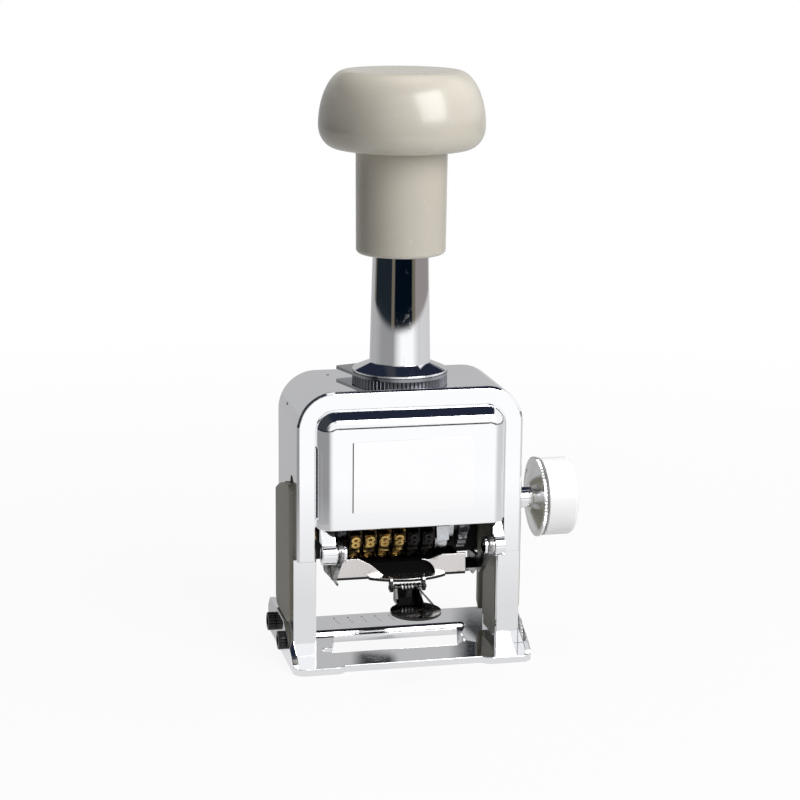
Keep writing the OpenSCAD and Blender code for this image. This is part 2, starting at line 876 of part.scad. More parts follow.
// One type wheel: a drum with ten raised type blocks, and its ratchet
module type_wheel(i) {
    x0 = wheel_x0 + (i - 1) * wheel_pitch - drum_w / 2 - ratchet_w / 2;
    color([0.16, 0.14, 0.12])
        translate([0, -shaft_front, shaft_z])
            difference() {
                union() {
                    along_x(x0, x0 + drum_w) {
                        circle(r = drum_r);
                        for (k = [0 : FIGURES - 1])
                            rotate(k * 360 / FIGURES - 90)
                                translate([drum_r - 1, -block_w / 2])
                                    square([block_r - drum_r + 1, block_w]);
                    }
                    along_x(x0 + drum_w, x0 + drum_w + ratchet_w)
                        polygon(saw_teeth(FIGURES, ratchet_r - 1.4, ratchet_r));
                }
                rod_x(x0 - 1, x0 + wheel_pitch + 1, bore_r, 0, 0);
            }
}

module wheel_1() { type_wheel(1); }
module wheel_2() { type_wheel(2); }
module wheel_3() { type_wheel(3); }
module wheel_4() { type_wheel(4); }
module wheel_5() { type_wheel(5); }
module wheel_6() { type_wheel(6); }

// Steel ratchet that counts the repeats
module repeat_ratchet() {
    color("silver")
        translate([0, -shaft_front, shaft_z])
            difference() {
                union() {
                    along_x(pack_x1 + side_gap, pack_x1 + star_w)
                        polygon(saw_teeth(12, ratchet_r - 0.9, ratchet_r + 0.7));
                    rod_x(pack_x1 + star_w, repeat_x1, ratchet_r - 1.2, 0, 0);
                }
                rod_x(pack_x1 - 1, repeat_x1 + 1, bore_r, 0, 0);
            }
}

// Swinging cheek of the feed, with its arm to the pawl rod
module feed_cheek_outline() {
    difference() {
        union() {
            circle(r = 4.4);
            bar([0, 0], [pawl_pin_y, pawl_pin_z], 2.3);
        }
        circle(r = bore_r);
        translate([pawl_pin_y, pawl_pin_z]) circle(r = pawl_pin_r);
    }
}

// Two swinging cheeks; the right one carries a toothed sector
module feed_cheeks() {
    color("silver")
        translate([0, -shaft_front, shaft_z]) {
            along_x(feed_left_x, feed_left_x + feed_t) feed_cheek_outline();
            along_x(feed_right_x, feed_right_x + feed_t) feed_cheek_outline();
            along_x(sector_x, sector_x + sector_w)
                difference() {
                    union() {
                        circle(r = 4.4);
                        for (a = [150 : 15 : 240])
                            rotate(a) polygon([[3, -1], [7, -1.1], [8, -0.35], [8, 0.35], [7, 1.1], [3, 1]]);
                    }
                    circle(r = bore_r);
                }
        }
}

module pawl_rod() {
    color("lightsteelblue")
        rod_x(feed_left_x - 0.1, feed_right_x + feed_t + 0.1, pawl_pin_r,
              pawl_pin_y - shaft_front, shaft_z + pawl_pin_z);
}

// Stepped feed pawl: one finger a wheel, each a little shorter than the last,
// so that a finger bites only when the wheel before it passes nine
module feed_pawl() {
    step = 0.18;
    back_r = feed_arm_r - 1.9;
    color("silver")
        translate([0, -shaft_front, shaft_z])
            difference() {
                union() {
                    rod_x(feed_left_x + feed_t + 0.1, feed_right_x - 0.1, 1.9, pawl_pin_y, pawl_pin_z);
                    for (i = [0 : WHEELS - 1]) {
                        x = wheel_x0 + i * wheel_pitch + drum_w / 2 + (pass_gap - pawl_w) / 2;
                        tip = pawl_tip_r + step * (WHEELS - 1 - i);
                        along_x(x, x + pawl_w)
                            rotate(feed_arm_a)
                                polygon([
                                    [tip, 0.4], [tip + 0.5, -0.5], [back_r + 1, -1.5],
                                    [back_r + 1, 1.5], [tip + 1.2, 1.3]
                                ]);
                    }
                }
                rod_x(feed_left_x, feed_right_x + 1, pawl_pin_r + run_gap, pawl_pin_y, pawl_pin_z);
            }
}

// Torsion coil on the pawl rod's right end
module pawl_spring() {
    coil_r = 1.7;
    turns = 3;
    per_turn = 16;
    x0 = feed_right_x + feed_t + 0.5;
    path = [
        for (i = [0 : turns * per_turn])
            [x0 + i * 0.62 / per_turn,
             pawl_pin_y - shaft_front + coil_r * cos(360 * i / per_turn),
             shaft_z + pawl_pin_z + coil_r * sin(360 * i / per_turn)]
    ];
    color("lightsteelblue") wire(path, 0.25);
}

// Leaf comb on the bridge: one finger rests over each wheel
module detent_comb() {
    leaf_t = 0.3;
    top_z = bridge_z - leaf_t;
    root_y = cheek_half_y - 2;
    tip_z = shaft_z + type_r + pass_gap;
    color("lightsteelblue") {
        block([pack_x0, root_y, top_z - 0.5], [pack_x1 - 0.5, root_y + 2, bridge_z]);
        for (i = [0 : WHEELS - 1]) {
            x = wheel_x0 + i * wheel_pitch - drum_w / 2;
            along_x(x, x + drum_w - 0.6)
                polygon([
                    [root_y + 2, bridge_z], [root_y + 2 - leaf_t, bridge_z],
                    [root_y + 2 - leaf_t, tip_z + 6], [-shaft_front, tip_z + 0.9], [-shaft_front, tip_z],
                    [-shaft_front + 0.8, tip_z], [root_y + 2, tip_z + 5.8]
                ]);
        }
    }
}

module comb_screws() {
    color("silver")
        for (i = [0, WHEELS - 2])
            translate([wheel_x0 + i * wheel_pitch + 1.65, cheek_half_y - 1, bridge_z - 1.6])
                cylinder(h = 0.8, r = 0.7);
}

// Ink pad ------------------------------------------------------------------

module arm_outline() {
    rear = [tray_y1 - 3, tray_z + 1.2];
    knee = [tray_y0 + 1, tray_z + 2.2];
    difference() {
        union() {
            translate([-pivot_front, pivot_z]) circle(r = 2.7);
            bar([-pivot_front, pivot_z], knee, 2.2);
            bar(knee, rear, 1.9);
        }
        translate([-pivot_front, pivot_z]) circle(r = pivot_r + run_gap);
    }
}

// Claw that is bent in from an arm's lower edge, under the tray
module claw_outline() {
    polygon([
        [0, 2.2], [arm_t, 2.2], [arm_t, 0.7], [arm_t - 0.4, -0.3], [-0.4, -1.9],
        [-0.8, -1.5], [-0.2, -0.4], [0, -0.1]
    ]);
}

// Two arms with a claw each; the right one steps in to the tray
module pad_arms() {
    right_x = arm_x + arm_shift;
    color("silver") {
        along_x(-arm_x - arm_t, -arm_x) arm_outline();
        along_x(right_x, right_x + arm_t) arm_outline();
        block([tray_x1, tray_y0 + 2, tray_z], [right_x + 0.1, tray_y1 - 2, tray_z + tray_t]);
        along_y(tray_y0 + 1, tray_y0 + 2.6)
            translate([-arm_x, tray_z]) mirror([1, 0]) claw_outline();
        along_y(tray_y0 + 4.8, tray_y0 + 6.4)
            translate([right_x, tray_z]) claw_outline();
    }
}

// Front wall of the tray: two parts beside a wide gap that is open to the floor
module tray_front_outline() {
    top = tray_z + tray_h;
    floor_z = tray_z + tray_t;
    translate([tray_x0, tray_z]) square([tray_x1 - tray_x0, tray_t]);
    polygon([
        [tray_x0, tray_z], [tray_x0, top], [-12.9, top], [-9.4, top - 2], [-6.2, floor_z], [-6.2, tray_z]
    ]);
    difference() {
        polygon([
            [tray_x1, tray_z], [tray_x1, top], [9.8, top], [6, top - 1.2], [4, top - 1],
            [5.4, floor_z], [5.4, tray_z]
        ]);
        translate([3.6, tray_z + 0.3]) circle(r = 4.2);
    }
}

// Folded tray with a scooped front wall, a lip and two ears for the tab's pin
module pad_tray() {
    ear_x = tab_w / 2 + 0.4;
    lip_w = 10.3;
    lip_r = 17;
    color([0.8, 0.79, 0.76]) {
        block([tray_x0, tray_y0, tray_z], [tray_x1, tray_y1, tray_z + tray_t]);
        along_y(tray_y0, tray_y0 + tray_t) tray_front_outline();
        block([tray_x0, tray_y1 - tray_t, tray_z], [tray_x1, tray_y1, tray_z + 2.6]);
        translate([0, 0, tray_z])
            linear_extrude(tray_t)
                intersection() {
                    translate([0, tray_y0 + 12.5]) circle(r = lip_r);
                    translate([-lip_w, tray_y0 - 6]) square([2 * lip_w, 6.2]);
                }
        for (side = [-1, 1])
            difference() {
                along_x(tab_x + side * ear_x - ear_t / 2, tab_x + side * ear_x + ear_t / 2)
                    bar([tab_y, tab_z], [tab_y + 0.6, tray_z + 0.4], 1.2);
                rod_x(-10, 10, tab_pin_r, tab_y, tab_z);
            }
    }
}

module ink_pad() {
    color([0.05, 0.05, 0.06])
        block([tray_x0 + 0.8, tray_y0 + tray_t + 0.1, pad_z],
              [tray_x1 - 0.6, tray_y1 - tray_t - 0.1, pad_top]);
}

// Headed pin through an arm, with a collar between the arm and the knuckle
module pivot_pin(arm) {
    rod_x(arm - 0.9, knuckle_x1 - knuckle_bore, pivot_r, -pivot_front, pivot_z);
    rod_x(arm - 0.9, arm - 0.1, 2.4, -pivot_front, pivot_z);
    rod_x(arm + arm_t + 0.1, knuckle_x0(arm) - 0.1, 2.2, -pivot_front, pivot_z);
}

// Pivot pins at both ends of the pad, short of the knuckles' outer ends
module pad_pivots() {
    color("silver") {
        mirror([1, 0, 0]) pivot_pin(arm_x);
        pivot_pin(arm_x + arm_shift);
    }
}

module tab_pin() {
    half = tab_w / 2 + 1.1;
    color("silver")
        rod_x(tab_x - half, tab_x + half, tab_pin_r, tab_y, tab_z);
}

// Polished finger tab that hangs from its pin by two side walls
module finger_tab() {
    eye_r = 0.95;
    wall_t = 0.6;
    half = tab_w / 2 - 0.4;
    color([0.3, 0.3, 0.3])
        translate([tab_x, tab_y, tab_z])
            rotate([tab_slope, 0, 0])
                difference() {
                    union() {
                        translate([0, 0, -tab_drop - tab_t])
                            linear_extrude(tab_t) {
                                translate([-half, -tab_len]) square([2 * half, tab_len + eye_r]);
                                translate([0, -tab_len]) circle(d = tab_disc_d);
                            }
                        for (x = [-half, half - wall_t])
                            along_x(x, x + wall_t) {
                                circle(r = eye_r);
                                polygon([
                                    [-eye_r, 0], [eye_r, 0], [eye_r, -tab_drop - 0.1],
                                    [-eye_r - 3, -tab_drop - 0.1], [-eye_r - 1.2, -tab_drop + 0.6]
                                ]);
                            }
                    }
                    rod_x(-half - 1, half + 1, tab_pin_r + run_gap, 0, 0);
                }
}

// Torsion spring of four coils; one long leg lies on the tab
module tab_spring() {
    coil_r = 0.75;
    turns = 4.25;
    per_turn = 12;
    pitch = 0.9;
    x0 = -pitch * turns / 2;
    leg_reach = 7.5;
    coil = [
        for (i = [0 : turns * per_turn])
            [x0 + pitch * i / per_turn, coil_r * cos(360 * i / per_turn), coil_r * sin(360 * i / per_turn)]
    ];
    leg = [for (t = [0.5, 1]) [-x0 + 3.2 * t, -leg_reach * t, coil_r - 3.5 * t]];
    color("lightsteelblue")
        translate([tab_x, tab_y, tab_z])
            rotate([tab_slope, 0, 0])
                wire(concat(coil, leg), 0.22);
}

// Side knob ----------------------------------------------------------------

module dial_bush() {
    color("silver")
        difference() {
            union() {
                rod_x(guide_in_x + 0.8, guide_out_x, stud_r + 0.8, 0, dial_z);
                rod_x(guide_out_x, guide_out_x + 1, stud_r + 1.6, 0, dial_z);
            }
            rod_x(guide_in_x - 1, guide_out_x + 2, journal_r + run_gap, 0, dial_z);
        }
}

module dial_stud() {
    color("silver") {
        rod_x(guide_in_x - 2.7, guide_out_x + 1.1, journal_r, 0, dial_z);
        rod_x(guide_out_x + 1.1, dial_x - 1.6, stud_r, 0, dial_z);
        rod_x(dial_x - 1.6, knob_x, journal_r, 0, dial_z);
    }
}

// Dished disc with a fine-toothed rim
module toothed_disc() {
    teeth = 72;
    color("gray")
        translate([0, 0, dial_z])
            rotate([0, 90, 0])
                difference() {
                    rotate_extrude()
                        polygon([
                            [journal_r, dial_x - 1.6], [stud_r + 1, dial_x - 1.6], [disc_r - 1.4, dial_x],
                            [disc_r, dial_x], [disc_r, dial_x + disc_t], [disc_r - 1.6, dial_x + disc_t],
                            [stud_r + 0.8, dial_x - 1], [journal_r, dial_x - 1]
                        ]);
                    for (i = [0 : teeth - 1])
                        rotate(i * 360 / teeth)
                            translate([disc_r + 0.1, 0, dial_x - 1])
                                rotate(45) translate([-0.3, -0.3, 0]) cube([0.6, 0.6, 3]);
                    for (side = [-1, 1])
                        translate([side * 4.4, 7, dial_x - 2])
                            difference() {
                                cylinder(h = 3, r = 1.5);
                                translate([0, 0, -1]) cylinder(h = 5, r = 1);
                                translate([-2, -3, -1]) cube([4, 3, 5]);
                            }
                }
}

module side_knob() {
    edge = 1;
    color("white")
        translate([0, 0, dial_z])
            rotate([0, 90, 0])
                rotate_extrude($fn = 96) {
                    translate([journal_r, knob_x - 0.9]) square([4, 1]);
                    translate([0, knob_x]) square([dial_r - edge, dial_len]);
                    translate([0, knob_x]) square([dial_r, dial_len - edge]);
                    translate([dial_r - edge, knob_x + dial_len - edge]) circle(r = edge);
                }
}

// Eccentric on the inner end of the stud
module lock_cam() {
    color("dimgray")
        difference() {
            union() {
                rod_x(guide_in_x - 2.6, guide_in_x - 0.4, 3, 0, dial_z);
                rod_x(guide_in_x - 2.6, guide_in_x - 0.4, 2.6, 0, dial_z + 1.2);
            }
            rod_x(guide_in_x - 4, guide_in_x + 1, journal_r, 0, dial_z);
        }
}

base_plate();
base_screws();
left_leg();
right_leg();
arch_housing();
front_cover();
label_plate();
rear_cover();
rear_cover_screws();
left_guide();
right_guide();
guide_neck();
click_ring();
selector_plate();
rod_bush();
return_spring();
pad_pivots();
dial_bush();
knob_head();
knob_sleeve();
knob_insert();
plunger_rod();
rod_nut();
left_cheek();
right_cheek();
bridge();
guide_shoes();
wheel_shaft();
shaft_clips();
detent_comb();
comb_screws();
wheel_1();
wheel_2();
wheel_3();
wheel_4();
wheel_5();
wheel_6();
repeat_ratchet();
feed_cheeks();
pawl_rod();
feed_pawl();
pawl_spring();
pad_arms();
pad_tray();
ink_pad();
tab_pin();
finger_tab();
tab_spring();
side_knob();
toothed_disc();
dial_stud();
lock_cam();
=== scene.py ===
import math

import bpy
from mathutils import Matrix, Quaternion, Vector


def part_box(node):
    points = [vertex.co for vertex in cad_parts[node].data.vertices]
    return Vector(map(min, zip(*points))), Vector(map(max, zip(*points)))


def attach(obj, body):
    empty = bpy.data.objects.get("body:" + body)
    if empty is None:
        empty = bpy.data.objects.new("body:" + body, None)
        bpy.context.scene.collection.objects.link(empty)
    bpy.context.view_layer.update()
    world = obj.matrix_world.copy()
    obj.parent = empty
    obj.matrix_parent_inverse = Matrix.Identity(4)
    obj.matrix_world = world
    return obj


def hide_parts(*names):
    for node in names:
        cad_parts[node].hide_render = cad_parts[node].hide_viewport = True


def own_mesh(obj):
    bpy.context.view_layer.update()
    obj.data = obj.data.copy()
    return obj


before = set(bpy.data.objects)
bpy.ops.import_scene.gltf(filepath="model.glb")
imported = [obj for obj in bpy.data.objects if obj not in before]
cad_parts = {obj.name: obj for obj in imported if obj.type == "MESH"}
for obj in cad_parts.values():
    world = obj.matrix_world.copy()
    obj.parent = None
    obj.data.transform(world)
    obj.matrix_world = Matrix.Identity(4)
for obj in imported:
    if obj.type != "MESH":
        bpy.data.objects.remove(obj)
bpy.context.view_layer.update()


# Studio ---------------------------------------------------------------------
# A white table inside a white tent with a dark blue ceiling. One large softbox
# stands at the right front, one hangs above, and a weak one fills the left.
MM = 0.001
LENS_POINT = Vector((-127.25, -558.16, 196.5)) * MM
AIM_POINT = Vector((0.18, 0, 67.2)) * MM
CAMERA_ROLL = math.radians(0.55)

camera_data = bpy.data.cameras.new("camera")
camera_data.lens = 100
camera_data.sensor_width = 36
camera_data.clip_start = 0.01
camera = bpy.data.objects.new("camera", camera_data)
bpy.context.scene.collection.objects.link(camera)
camera.location = LENS_POINT
camera.rotation_mode = "QUATERNION"
camera.rotation_quaternion = (
    (AIM_POINT - LENS_POINT).to_track_quat("-Z", "Y") @ Quaternion((0, 0, 1), CAMERA_ROLL)
)
bpy.context.scene.camera = camera
bpy.context.scene.view_settings.view_transform = "Standard"


def softbox(name, place, aim, size, power, in_gloss=True):
    """A rectangular area lamp at a place in metres, turned to a point."""
    data = bpy.data.lights.new(name, "AREA")
    data.shape = "RECTANGLE"
    data.size, data.size_y = size
    data.energy = power
    lamp = bpy.data.objects.new(name, data)
    bpy.context.scene.collection.objects.link(lamp)
    lamp.location = place
    lamp.rotation_mode = "QUATERNION"
    lamp.rotation_quaternion = (Vector(aim) - Vector(place)).to_track_quat("-Z", "Y")
    lamp.visible_camera = False
    lamp.visible_glossy = in_gloss


softbox("key_softbox", (0.29, -0.46, 0.42), (0, 0, 0.09), (0.42, 0.46), 3.5)
softbox("top_softbox", (0.08, 0.06, 0.75), (0, 0, 0.05), (0.40, 0.40), 3.0, in_gloss=False)
softbox("left_fill", (-0.60, -0.35, 0.30), (0, 0, 0.08), (0.30, 0.40), 0.05, in_gloss=False)


def shade(value):
    """A colour as it is, or a number as a grey with a trace of blue."""
    return value if isinstance(value, tuple) else (value, value, value * 1.01, 1)


def fill(tree, socket, value):
    """Links an input to a socket, or gives it a value."""
    if isinstance(value, bpy.types.NodeSocket):
        tree.links.new(value, socket)
    else:
        socket.default_value = shade(value) if socket.type == "RGBA" else value


def add_node(tree, kind, **values):
    """A shader node with its inputs (underscores for blanks) and attributes set."""
    node = tree.nodes.new(kind)
    for key, value in values.items():
        socket = node.inputs.get(key.replace("_", " "))
        if socket is None:
            setattr(node, key, value)
        else:
            fill(tree, socket, value)
    return node


def filled(tree, node, *values):
    """Fills a node's inputs in their order and returns its outputs."""
    for socket, value in zip(node.inputs, values):
        fill(tree, socket, value)
    return node.outputs


def maths(tree, operation, *values, clamp=False):
    """The result of a sum on numbers or sockets."""
    node = add_node(tree, "ShaderNodeMath", operation=operation, use_clamp=clamp)
    return filled(tree, node, *values)[0]


def vectors(tree, operation, *values):
    """The result of a vector sum; a number for a length or a dot product."""
    node = add_node(tree, "ShaderNodeVectorMath", operation=operation)
    is_number = operation in ("LENGTH", "DOT_PRODUCT")
    return filled(tree, node, *values)["Value" if is_number else "Vector"]


def spread(tree, value, low, high, to_low=0.0, to_high=1.0):
    """Spreads a value between two marks over 0 to 1, or over a given range."""
    return add_node(tree, "ShaderNodeMapRange", Value=value, From_Min=low, From_Max=high,
                    To_Min=to_low, To_Max=to_high).outputs[0]


def gate(tree, *edges):
    """One where every value lies past its edge (value, from, to), and zero elsewhere."""
    share = 1.0
    for edge in edges:
        share = maths(tree, "MULTIPLY", share, spread(tree, *edge))
    return share


def lean(tree, bearing, direction, low, high):
    """How far a level bearing lies towards a direction, from 0 to 1."""
    return spread(tree, vectors(tree, "DOT_PRODUCT", bearing, (*direction, 0)), low, high)


def grade(tree, factor, a, b):
    """Mixes two shades, numbers or sockets by a factor."""
    node = add_node(tree, "ShaderNodeMix", data_type="RGBA")
    for name, value in (("Factor", factor), ("A", a), ("B", b)):
        fill(tree, node.inputs[name], value)
    return node.outputs["Result"]


def shade_ramp(tree, factor, stops):
    """The colour at a factor along pairs of place and shade."""
    node = add_node(tree, "ShaderNodeValToRGB", Fac=factor)
    bands = node.color_ramp.elements
    while len(bands) < len(stops):
        bands.new(0.5)
    for band, (place, tint) in zip(bands, stops):
        band.position = place
        band.color = shade(tint)
    return node.outputs["Color"]


# The tent. Metal sees its front white up to a step, then dark, then the thin
# bright edge of the top lamp. Its left is almost black, and its back is grey
# low down and dark blue above.
NAVY, WHITE, TENT_GREY = (0.016, 0.021, 0.040, 1), (1, 1, 1, 1), (0.070, 0.070, 0.074, 1)
CARD_BLACK, LEFT_WALL = (0.022, 0.025, 0.030, 1), (0.045, 0.050, 0.060, 1)
RIGHT, LEFT, FRONT, BACK = (1, 0), (-1, 0), (0, -1), (0, 1)
world = bpy.data.worlds.new("tent")
bpy.context.scene.world = world
world.use_nodes = True
tent = world.node_tree
tent.nodes.clear()
sight = add_node(tent, "ShaderNodeTexCoord").outputs["Generated"]
ray = add_node(tent, "ShaderNodeSeparateXYZ", Vector=sight).outputs
height = spread(tent, ray["Z"], -0.1, 1.0)
tent_front = shade_ramp(tent, height, [
    (0.000, 0.02), (0.084, 0.02), (0.092, 1.0), (0.744, 1.0), (0.757, NAVY), (0.964, NAVY),
    (0.967, 1.0), (0.982, 1.0), (0.985, NAVY),
])
tent_back = shade_ramp(tent, height, [(0.0, 0.50), (0.40, 0.50), (0.44, NAVY)])
level = vectors(tent, "NORMALIZE", vectors(tent, "MULTIPLY", sight, (1, 1, 0)))
tent_front = grade(tent, lean(tent, level, LEFT, 0.45, 0.75), tent_front, LEFT_WALL)

# Two black cards stand behind the table, each between marks for how far aside
# and how high it is seen. The base mirrors them, and so shows a dark patch at
# its front and a dark right end.
aside = maths(tent, "DIVIDE", ray["X"], ray["Y"])
front_card = gate(tent, (aside, 0.205, 0.211), (aside, 0.229, 0.2245),
                  (ray["Z"], 0.3270, 0.3285))
right_card = gate(tent, (aside, 0.254, 0.264), (ray["Z"], 0.302, 0.318),
                  (ray["Z"], 0.346, 0.342))
tent_back = grade(tent, maths(tent, "MAXIMUM", front_card, right_card), tent_back, CARD_BLACK)
walls = grade(tent, lean(tent, level, (-0.25, 0.97), 0.05, 0.55), tent_front, tent_back)
rays = add_node(tent, "ShaderNodeLightPath").outputs
in_metal = maths(tent, "MAXIMUM", rays["Is Glossy Ray"], rays["Is Transmission Ray"])
seen = grade(tent, rays["Is Camera Ray"], grade(tent, in_metal, TENT_GREY, walls), WHITE)
tent_light = add_node(tent, "ShaderNodeBackground", Color=seen, Strength=1.0)
add_node(tent, "ShaderNodeOutputWorld", Surface=tent_light.outputs[0])


def new_material(name):
    """An empty node material; returns it with its tree and shader."""
    material = bpy.data.materials.new(name)
    material.use_nodes = True
    return material, material.node_tree, material.node_tree.nodes["Principled BSDF"]


# The table: white paper that keeps a soft shadow. Metal sees a painted reflection of it, a glow
# that only metal sees: a painted pool of light towards the softbox, painted shade near the object,
# and grey at the sides and back. Past its edge metal sees the floor: black in front, dark at the
# left and warm grey at the right.
TABLE_SIZE, TABLE_EDGE, EDGE_BLUR = 6.0, 0.60, 0.015
PAPER_GREY = (0.66, 0.66, 0.66, 1)
FLOOR_FRONT, FLOOR_OLIVE = (0.001, 0.004, 0.009, 1), (0.15, 0.135, 0.105, 1)
FLOOR_LEFT, FLOOR_RIGHT = (0.012, 0.018, 0.024, 1), (0.29, 0.262, 0.258, 1)
bpy.ops.object.select_all(action="DESELECT")
bpy.ops.mesh.primitive_plane_add(size=TABLE_SIZE, location=(0, 0, 0))
table = bpy.context.object
table.name = "table"
paper, tree, shader = new_material("table_paper")
shader.inputs["Base Color"].default_value = PAPER_GREY
shader.inputs["Roughness"].default_value = 0.9
shader.inputs["Specular IOR Level"].default_value = 0.0
spot = add_node(tree, "ShaderNodeTexCoord").outputs["Object"]
bearing = vectors(tree, "NORMALIZE", spot)
reach = vectors(tree, "LENGTH", spot)
sides = grade(tree, lean(tree, bearing, RIGHT, 0.72, 0.95), 0.30, 0.66)
# Painted light: metal sees the table brighter towards the softbox.
bright = grade(tree, lean(tree, bearing, (0.26, -0.97), 0.60, 0.95), sides, 1.05)
# Painted shade: metal sees the table darker near the object.
near_shade = grade(tree, spread(tree, reach, 0.06, 0.20), 0.76, bright)
behind = grade(tree, lean(tree, bearing, RIGHT, -0.6, 0.8), 0.42, 0.64)
around = grade(tree, lean(tree, bearing, BACK, -0.1, 0.5), near_shade, behind)
floor = grade(tree, lean(tree, bearing, FRONT, 0.80, 0.84), FLOOR_OLIVE, FLOOR_FRONT)
floor = grade(tree, lean(tree, bearing, (-0.996, -0.087), 0.77, 0.80), floor, FLOOR_LEFT)
floor = grade(tree, lean(tree, bearing, (0.9, 0.43), 0.36, 0.42), floor, FLOOR_RIGHT)
past_edge = maths(tree, "MULTIPLY",
                  spread(tree, reach, TABLE_EDGE - EDGE_BLUR, TABLE_EDGE + EDGE_BLUR),
                  lean(tree, bearing, FRONT, -0.75, -0.65))
painted_metal_view = add_node(tree, "ShaderNodeEmission", Strength=1.0,
                      Color=grade(tree, past_edge, around, floor))
eye_view = add_node(tree, "ShaderNodeEmission", Color=WHITE, Strength=1.0)
rays = add_node(tree, "ShaderNodeLightPath").outputs
eye_share = maths(tree, "MULTIPLY", spread(tree, reach, 0.08, 0.45, 0.92, 1.0),
                  rays["Is Camera Ray"])
to_eye = filled(tree, add_node(tree, "ShaderNodeMixShader"),
                eye_share, shader.outputs[0], eye_view.outputs[0])
to_all = filled(tree, add_node(tree, "ShaderNodeMixShader"),
                rays["Is Glossy Ray"], to_eye[0], painted_metal_view.outputs[0])
fill(tree, tree.nodes["Material Output"].inputs["Surface"], to_all[0])
table.data.materials.append(paper)


# Base plate -----------------------------------------------------------------
# Pressed steel sheet with a print window, bright plated and then wiped. Behind
# the window, five punched dots with a scribed line each mark the places.
FLOAT, COLOUR, VECTOR = "NodeSocketFloat", "NodeSocketColor", "NodeSocketVector"


def effect_group(name, inputs, outputs):
    """An empty shader node group; returns it, what it is given and what it gives."""
    group = bpy.data.node_groups.new(name, "ShaderNodeTree")
    for socket, kind, value in inputs:
        made = group.interface.new_socket(socket, in_out="INPUT", socket_type=kind)
        made.default_value = value
    for socket, kind in outputs:
        group.interface.new_socket(socket, in_out="OUTPUT", socket_type=kind)
    return (group, group.nodes.new("NodeGroupInput").outputs,
            group.nodes.new("NodeGroupOutput").inputs)


def noise(tree, place, scale, detail, roughness):
    """A cloudy noise at a place."""
    return add_node(tree, "ShaderNodeTexNoise", Vector=place, Scale=scale, Detail=detail,
                    Roughness=roughness).outputs["Fac"]


# Handling marks: cloudy patches and fine scratches in the gloss.
marks, given, result = effect_group(
    "handling_marks",
    [("Base Roughness", FLOAT, 0.1), ("Cloud", FLOAT, 0.05), ("Scratch", FLOAT, 0.05),
     ("Size", FLOAT, 120.0)],
    [("Roughness", FLOAT), ("Height", FLOAT)],
)
SCRATCH_TURN, SCRATCH_STRETCH, SCRATCH_FINENESS = (0.4, 0.7, 0.5), (1.0, 14.0, 1.0), 6.0
SCRATCH_FROM, SCRATCH_FULL, PATCH_HEIGHT = 0.62, 0.72, 0.6
place = add_node(marks, "ShaderNodeTexCoord").outputs["Object"]
stretched = add_node(marks, "ShaderNodeMapping", Vector=place, Rotation=SCRATCH_TURN,
                     Scale=SCRATCH_STRETCH).outputs[0]
patches = noise(marks, place, given["Size"], 5.0, 0.6)
fine_size = maths(marks, "MULTIPLY", given["Size"], SCRATCH_FINENESS)
scratches = spread(marks, noise(marks, stretched, fine_size, 2.0, 0.5),
                   SCRATCH_FROM, SCRATCH_FULL)
worn = maths(marks, "MULTIPLY", patches, given["Cloud"])
worn = maths(marks, "MULTIPLY_ADD", scratches, given["Scratch"], worn)
fill(marks, result["Roughness"], maths(marks, "ADD", worn, given["Base Roughness"]))
fill(marks, result["Height"], maths(marks, "MULTIPLY_ADD", patches, PATCH_HEIGHT, scratches))

# Tone: a slow change between two close shades.
tone, given, result = effect_group(
    "tone_change",
    [("Light", COLOUR, (1, 1, 1, 1)), ("Dark", COLOUR, (0, 0, 0, 1)), ("Size", FLOAT, 60.0)],
    [("Color", COLOUR)],
)
place = add_node(tone, "ShaderNodeTexCoord").outputs["Object"]
patches = noise(tone, place, given["Size"], 4.0, 0.55)
fill(tone, result["Color"], grade(tone, patches, given["Light"], given["Dark"]))

# Blotches: sharp-edged spots, as dried ink, tarnish or grime leaves them.
blotch, given, result = effect_group(
    "blotches", [("Size", FLOAT, 300.0), ("Amount", FLOAT, 0.4)], [("Mask", FLOAT)]
)
BLOTCH_LEVEL, BLOTCH_SHARPNESS = 0.72, 8.0
place = add_node(blotch, "ShaderNodeTexCoord").outputs["Object"]
past_level = maths(blotch, "SUBTRACT", noise(blotch, place, given["Size"], 6.0, 0.65),
                   maths(blotch, "SUBTRACT", BLOTCH_LEVEL, given["Amount"]))
fill(blotch, result["Mask"],
     maths(blotch, "MULTIPLY", past_level, BLOTCH_SHARPNESS, clamp=True))

# Painted shade inside: a mask that is one within a box with round corners, marking the inner faces
# that are darkened as painted shade.
inside, given, result = effect_group(
    "painted_inner_shade", [("Middle", VECTOR, (0, 0, 0)), ("Half", VECTOR, (0.01, 0.01, 0.01)),
                     ("Corner", FLOAT, 0.001)],
    [("Mask", FLOAT)],
)
place = add_node(inside, "ShaderNodeTexCoord").outputs["Object"]
from_middle = vectors(inside, "ABSOLUTE", vectors(inside, "SUBTRACT", place, given["Middle"]))
core = vectors(inside, "SUBTRACT", given["Half"], given["Corner"])
beyond = vectors(inside, "MAXIMUM", vectors(inside, "SUBTRACT", from_middle, core), (0, 0, 0))
fill(inside, result["Mask"],
     maths(inside, "LESS_THAN", vectors(inside, "LENGTH", beyond), given["Corner"]))


def effect(tree, group, **values):
    """The outputs of a shared effect with its inputs set."""
    return add_node(tree, "ShaderNodeGroup", node_tree=group, **values).outputs


SPOT_ROUGH, ROOM_ROUGH, COAT_ROUGH = 0.5, 0.42, 0.06


